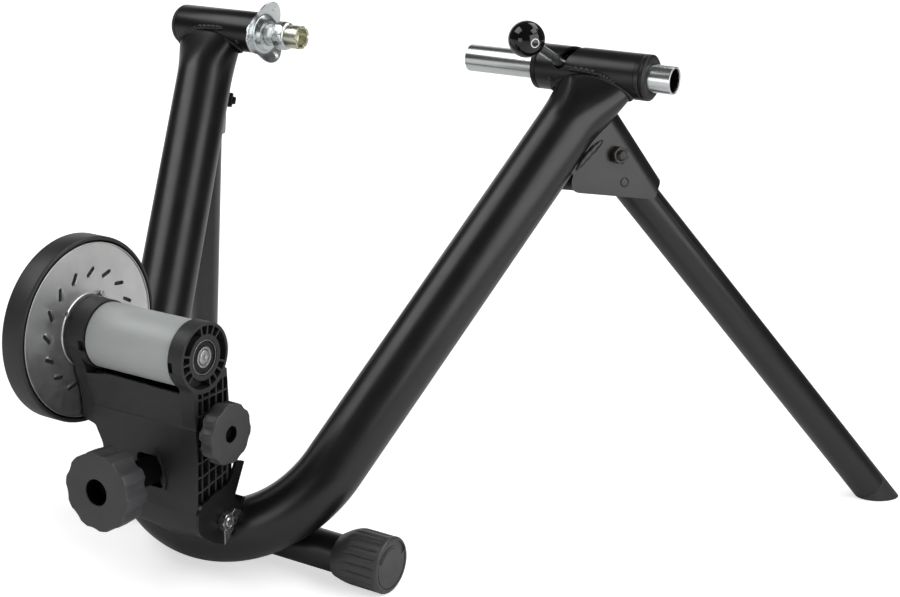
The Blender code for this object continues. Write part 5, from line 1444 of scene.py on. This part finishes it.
def dress_tension():
    place = Matrix.Translation(BARREL_NUT)
    half = CHEEK_INNER - GAP
    nut = [(-0.0205, 0.0), (-0.0205, BOLT_RADIUS), (-half, BOLT_RADIUS), (-half, 0.0080), (half, 0.0080)]
    nut += [(half, BOLT_RADIUS), (0.0205, BOLT_RADIUS), (0.0205, 0.0)]
    barrel = minus(lathe(nut, 0.0003, 64), dowel((0, 0), BOLT_HOLE, -0.02, 0.02, "Y"))
    dress("barrel_nut", barrel, "oxide", place)
    back = place @ rotation(-90, "Z")
    dress("tension_sleeve", pipe(0.0457, 0.0786, 0.0110, BOLT_HOLE, 0.0006), "black_and_shade", back)
    face = BARREL_NUT.y - TENSION_FACE
    dress_knob("tension_knob", back, BARREL_NUT.y - TENSION_BASE, face, TENSION_KNOB_RADIUS,
               (0.0112, 0.0038),
               (0.0029, 0.0036), (0.01035, TENSION_HOLE), (0.0160, 0.0010))
    # The bolt's end inside the knob's hole is near-black as painted shade.
    dress("tension_bolt", hex_bolt(-0.0160, face - TENSION_HOLE + GAP, 0.0050), "black_and_shade", back)

    place = Matrix.Translation(SIDE_KNOB_PLACE)
    dress_knob("side_knob", place, SIDE_KNOB_BASE, SIDE_KNOB_FACE, SIDE_KNOB_RADIUS, (0.0090, 0.0032),
               (0.0023, 0.003), (0.0066, SIDE_KNOB_HOLE), (0.0078, 0.0009))
    # The stud's end inside the side knob's hole is near-black as painted shade.
    stud = hex_bolt(0.0225, SIDE_KNOB_FACE - SIDE_KNOB_HOLE + GAP, 0.0035, flat=0.0054)
    dress("side_knob_stud", stud, "black_and_shade", place)
    dress("side_knob_nut", hex_nut(ARM_INNER - GAP - 0.0055, ARM_INNER - GAP), "oxide", place)


# Studio

def add_camera():
    ahead = Vector((-sin(CAMERA_YAW) * cos(CAMERA_PITCH),
                    cos(CAMERA_YAW) * cos(CAMERA_PITCH), -sin(CAMERA_PITCH)))
    level = Vector((cos(CAMERA_YAW), sin(CAMERA_YAW), 0.0))
    upright = level.cross(ahead)
    right = level * cos(CAMERA_ROLL) + upright * sin(CAMERA_ROLL)
    up = upright * cos(CAMERA_ROLL) - level * sin(CAMERA_ROLL)
    matrix = Matrix([right, up, -ahead]).transposed().to_4x4()
    matrix.translation = CAMERA_PLACE
    data = bpy.data.cameras.new("camera")
    data.sensor_width = 36.0
    data.lens = CAMERA_LENS
    camera = bpy.data.objects.new("camera", data)
    camera.matrix_world = matrix
    bpy.context.scene.collection.objects.link(camera)
    bpy.context.scene.camera = camera


def add_light(name, place, target, power, width, height):
    data = bpy.data.lights.new(name, "AREA")
    data.shape = "RECTANGLE"
    data.size = width
    data.size_y = height
    data.energy = power
    light = bpy.data.objects.new(name, data)
    light.visible_camera = False
    light.location = place
    light.rotation_mode = "QUATERNION"
    light.rotation_quaternion = (Vector(target) - Vector(place)).to_track_quat("-Z", "Y")
    bpy.context.scene.collection.objects.link(light)


def add_floor():
    """Pale floor that glows softly to the camera, and more in the distance to gloss."""
    mesh = bpy.data.meshes.new("studio_floor")
    shape = bmesh.new()
    for x, y in box(-FLOOR_REACH, FLOOR_REACH, -FLOOR_REACH, FLOOR_REACH):
        shape.verts.new((x, y, 0.0))
    shape.faces.new(shape.verts)
    shape.to_mesh(mesh)
    shape.free()
    floor = bpy.data.objects.new("studio_floor", mesh)
    floor.location.z = -0.0002
    bpy.context.scene.collection.objects.link(floor)
    material = bpy.data.materials.new("pale_floor")
    material.use_nodes = True
    tree = material.node_tree
    inputs = tree.nodes["Principled BSDF"].inputs
    inputs["Roughness"].default_value = 0.75
    inputs["Emission Color"].default_value = (1.0, 1.0, 1.0, 1.0)
    tone = mix_colors(tree, noise(tree, 3.0, 3.0), (0.86, 0.86, 0.86), (0.88, 0.88, 0.88))
    join(tree, inputs["Base Color"], tone)
    rays = add_node(tree, "LightPath").outputs
    away = calculate(tree, "LENGTH", add_node(tree, "TexCoord").outputs["Object"], kind="VectorMath")
    glows = []
    for ray, low, high in (("Is Camera Ray", FLOOR_GLOW, 1.0), ("Is Glossy Ray", 0.0, FAR_GLOSS)):
        glows.append(calculate(tree, "MULTIPLY", rays[ray], remap(tree, away, 0.6, 1.9, low, high)))
    join(tree, inputs["Emission Strength"], calculate(tree, "ADD", *glows))
    mesh.materials.append(material)


def add_room():
    """White to the camera; gloss sees a white backdrop behind the trainer, and a dim room elsewhere."""
    world = bpy.data.worlds.new("studio")
    bpy.context.scene.world = world
    world.use_nodes = True
    tree = world.node_tree
    inputs = tree.nodes["Background"].inputs
    inputs["Color"].default_value = (1.0, 1.0, 1.0, 1.0)
    rays = add_node(tree, "LightPath").outputs
    seen = calculate(tree, "MAXIMUM", rays["Is Camera Ray"], rays["Is Transmission Ray"])
    way = add_node(tree, "TexCoord").outputs["Generated"]
    toward = calculate(tree, "DOT_PRODUCT", way, BACKDROP_SIDE, kind="VectorMath")
    backdrop = remap(tree, toward, 0.80, 0.95, ROOM_GLOSS, 1.0)
    glossy = calculate(tree, "MULTIPLY", rays["Is Glossy Ray"], backdrop)
    diffuse = calculate(tree, "MULTIPLY", rays["Is Diffuse Ray"], ROOM_LIGHT)
    share = calculate(tree, "MAXIMUM", seen, glossy)
    join(tree, inputs["Strength"], calculate(tree, "MAXIMUM", share, diffuse))


add_camera()
dress_frame()
dress_foot_bar()
dress_heads()
dress_leg(1, "right")
dress_leg(-1, "left")
dress_pivot_bracket()
dress_clamp()
dress_cone()
dress_unit()
dress_tension()
add_floor()
add_room()
for light in LIGHTS:
    add_light(*light)
bpy.context.scene.view_settings.view_transform = "Standard"
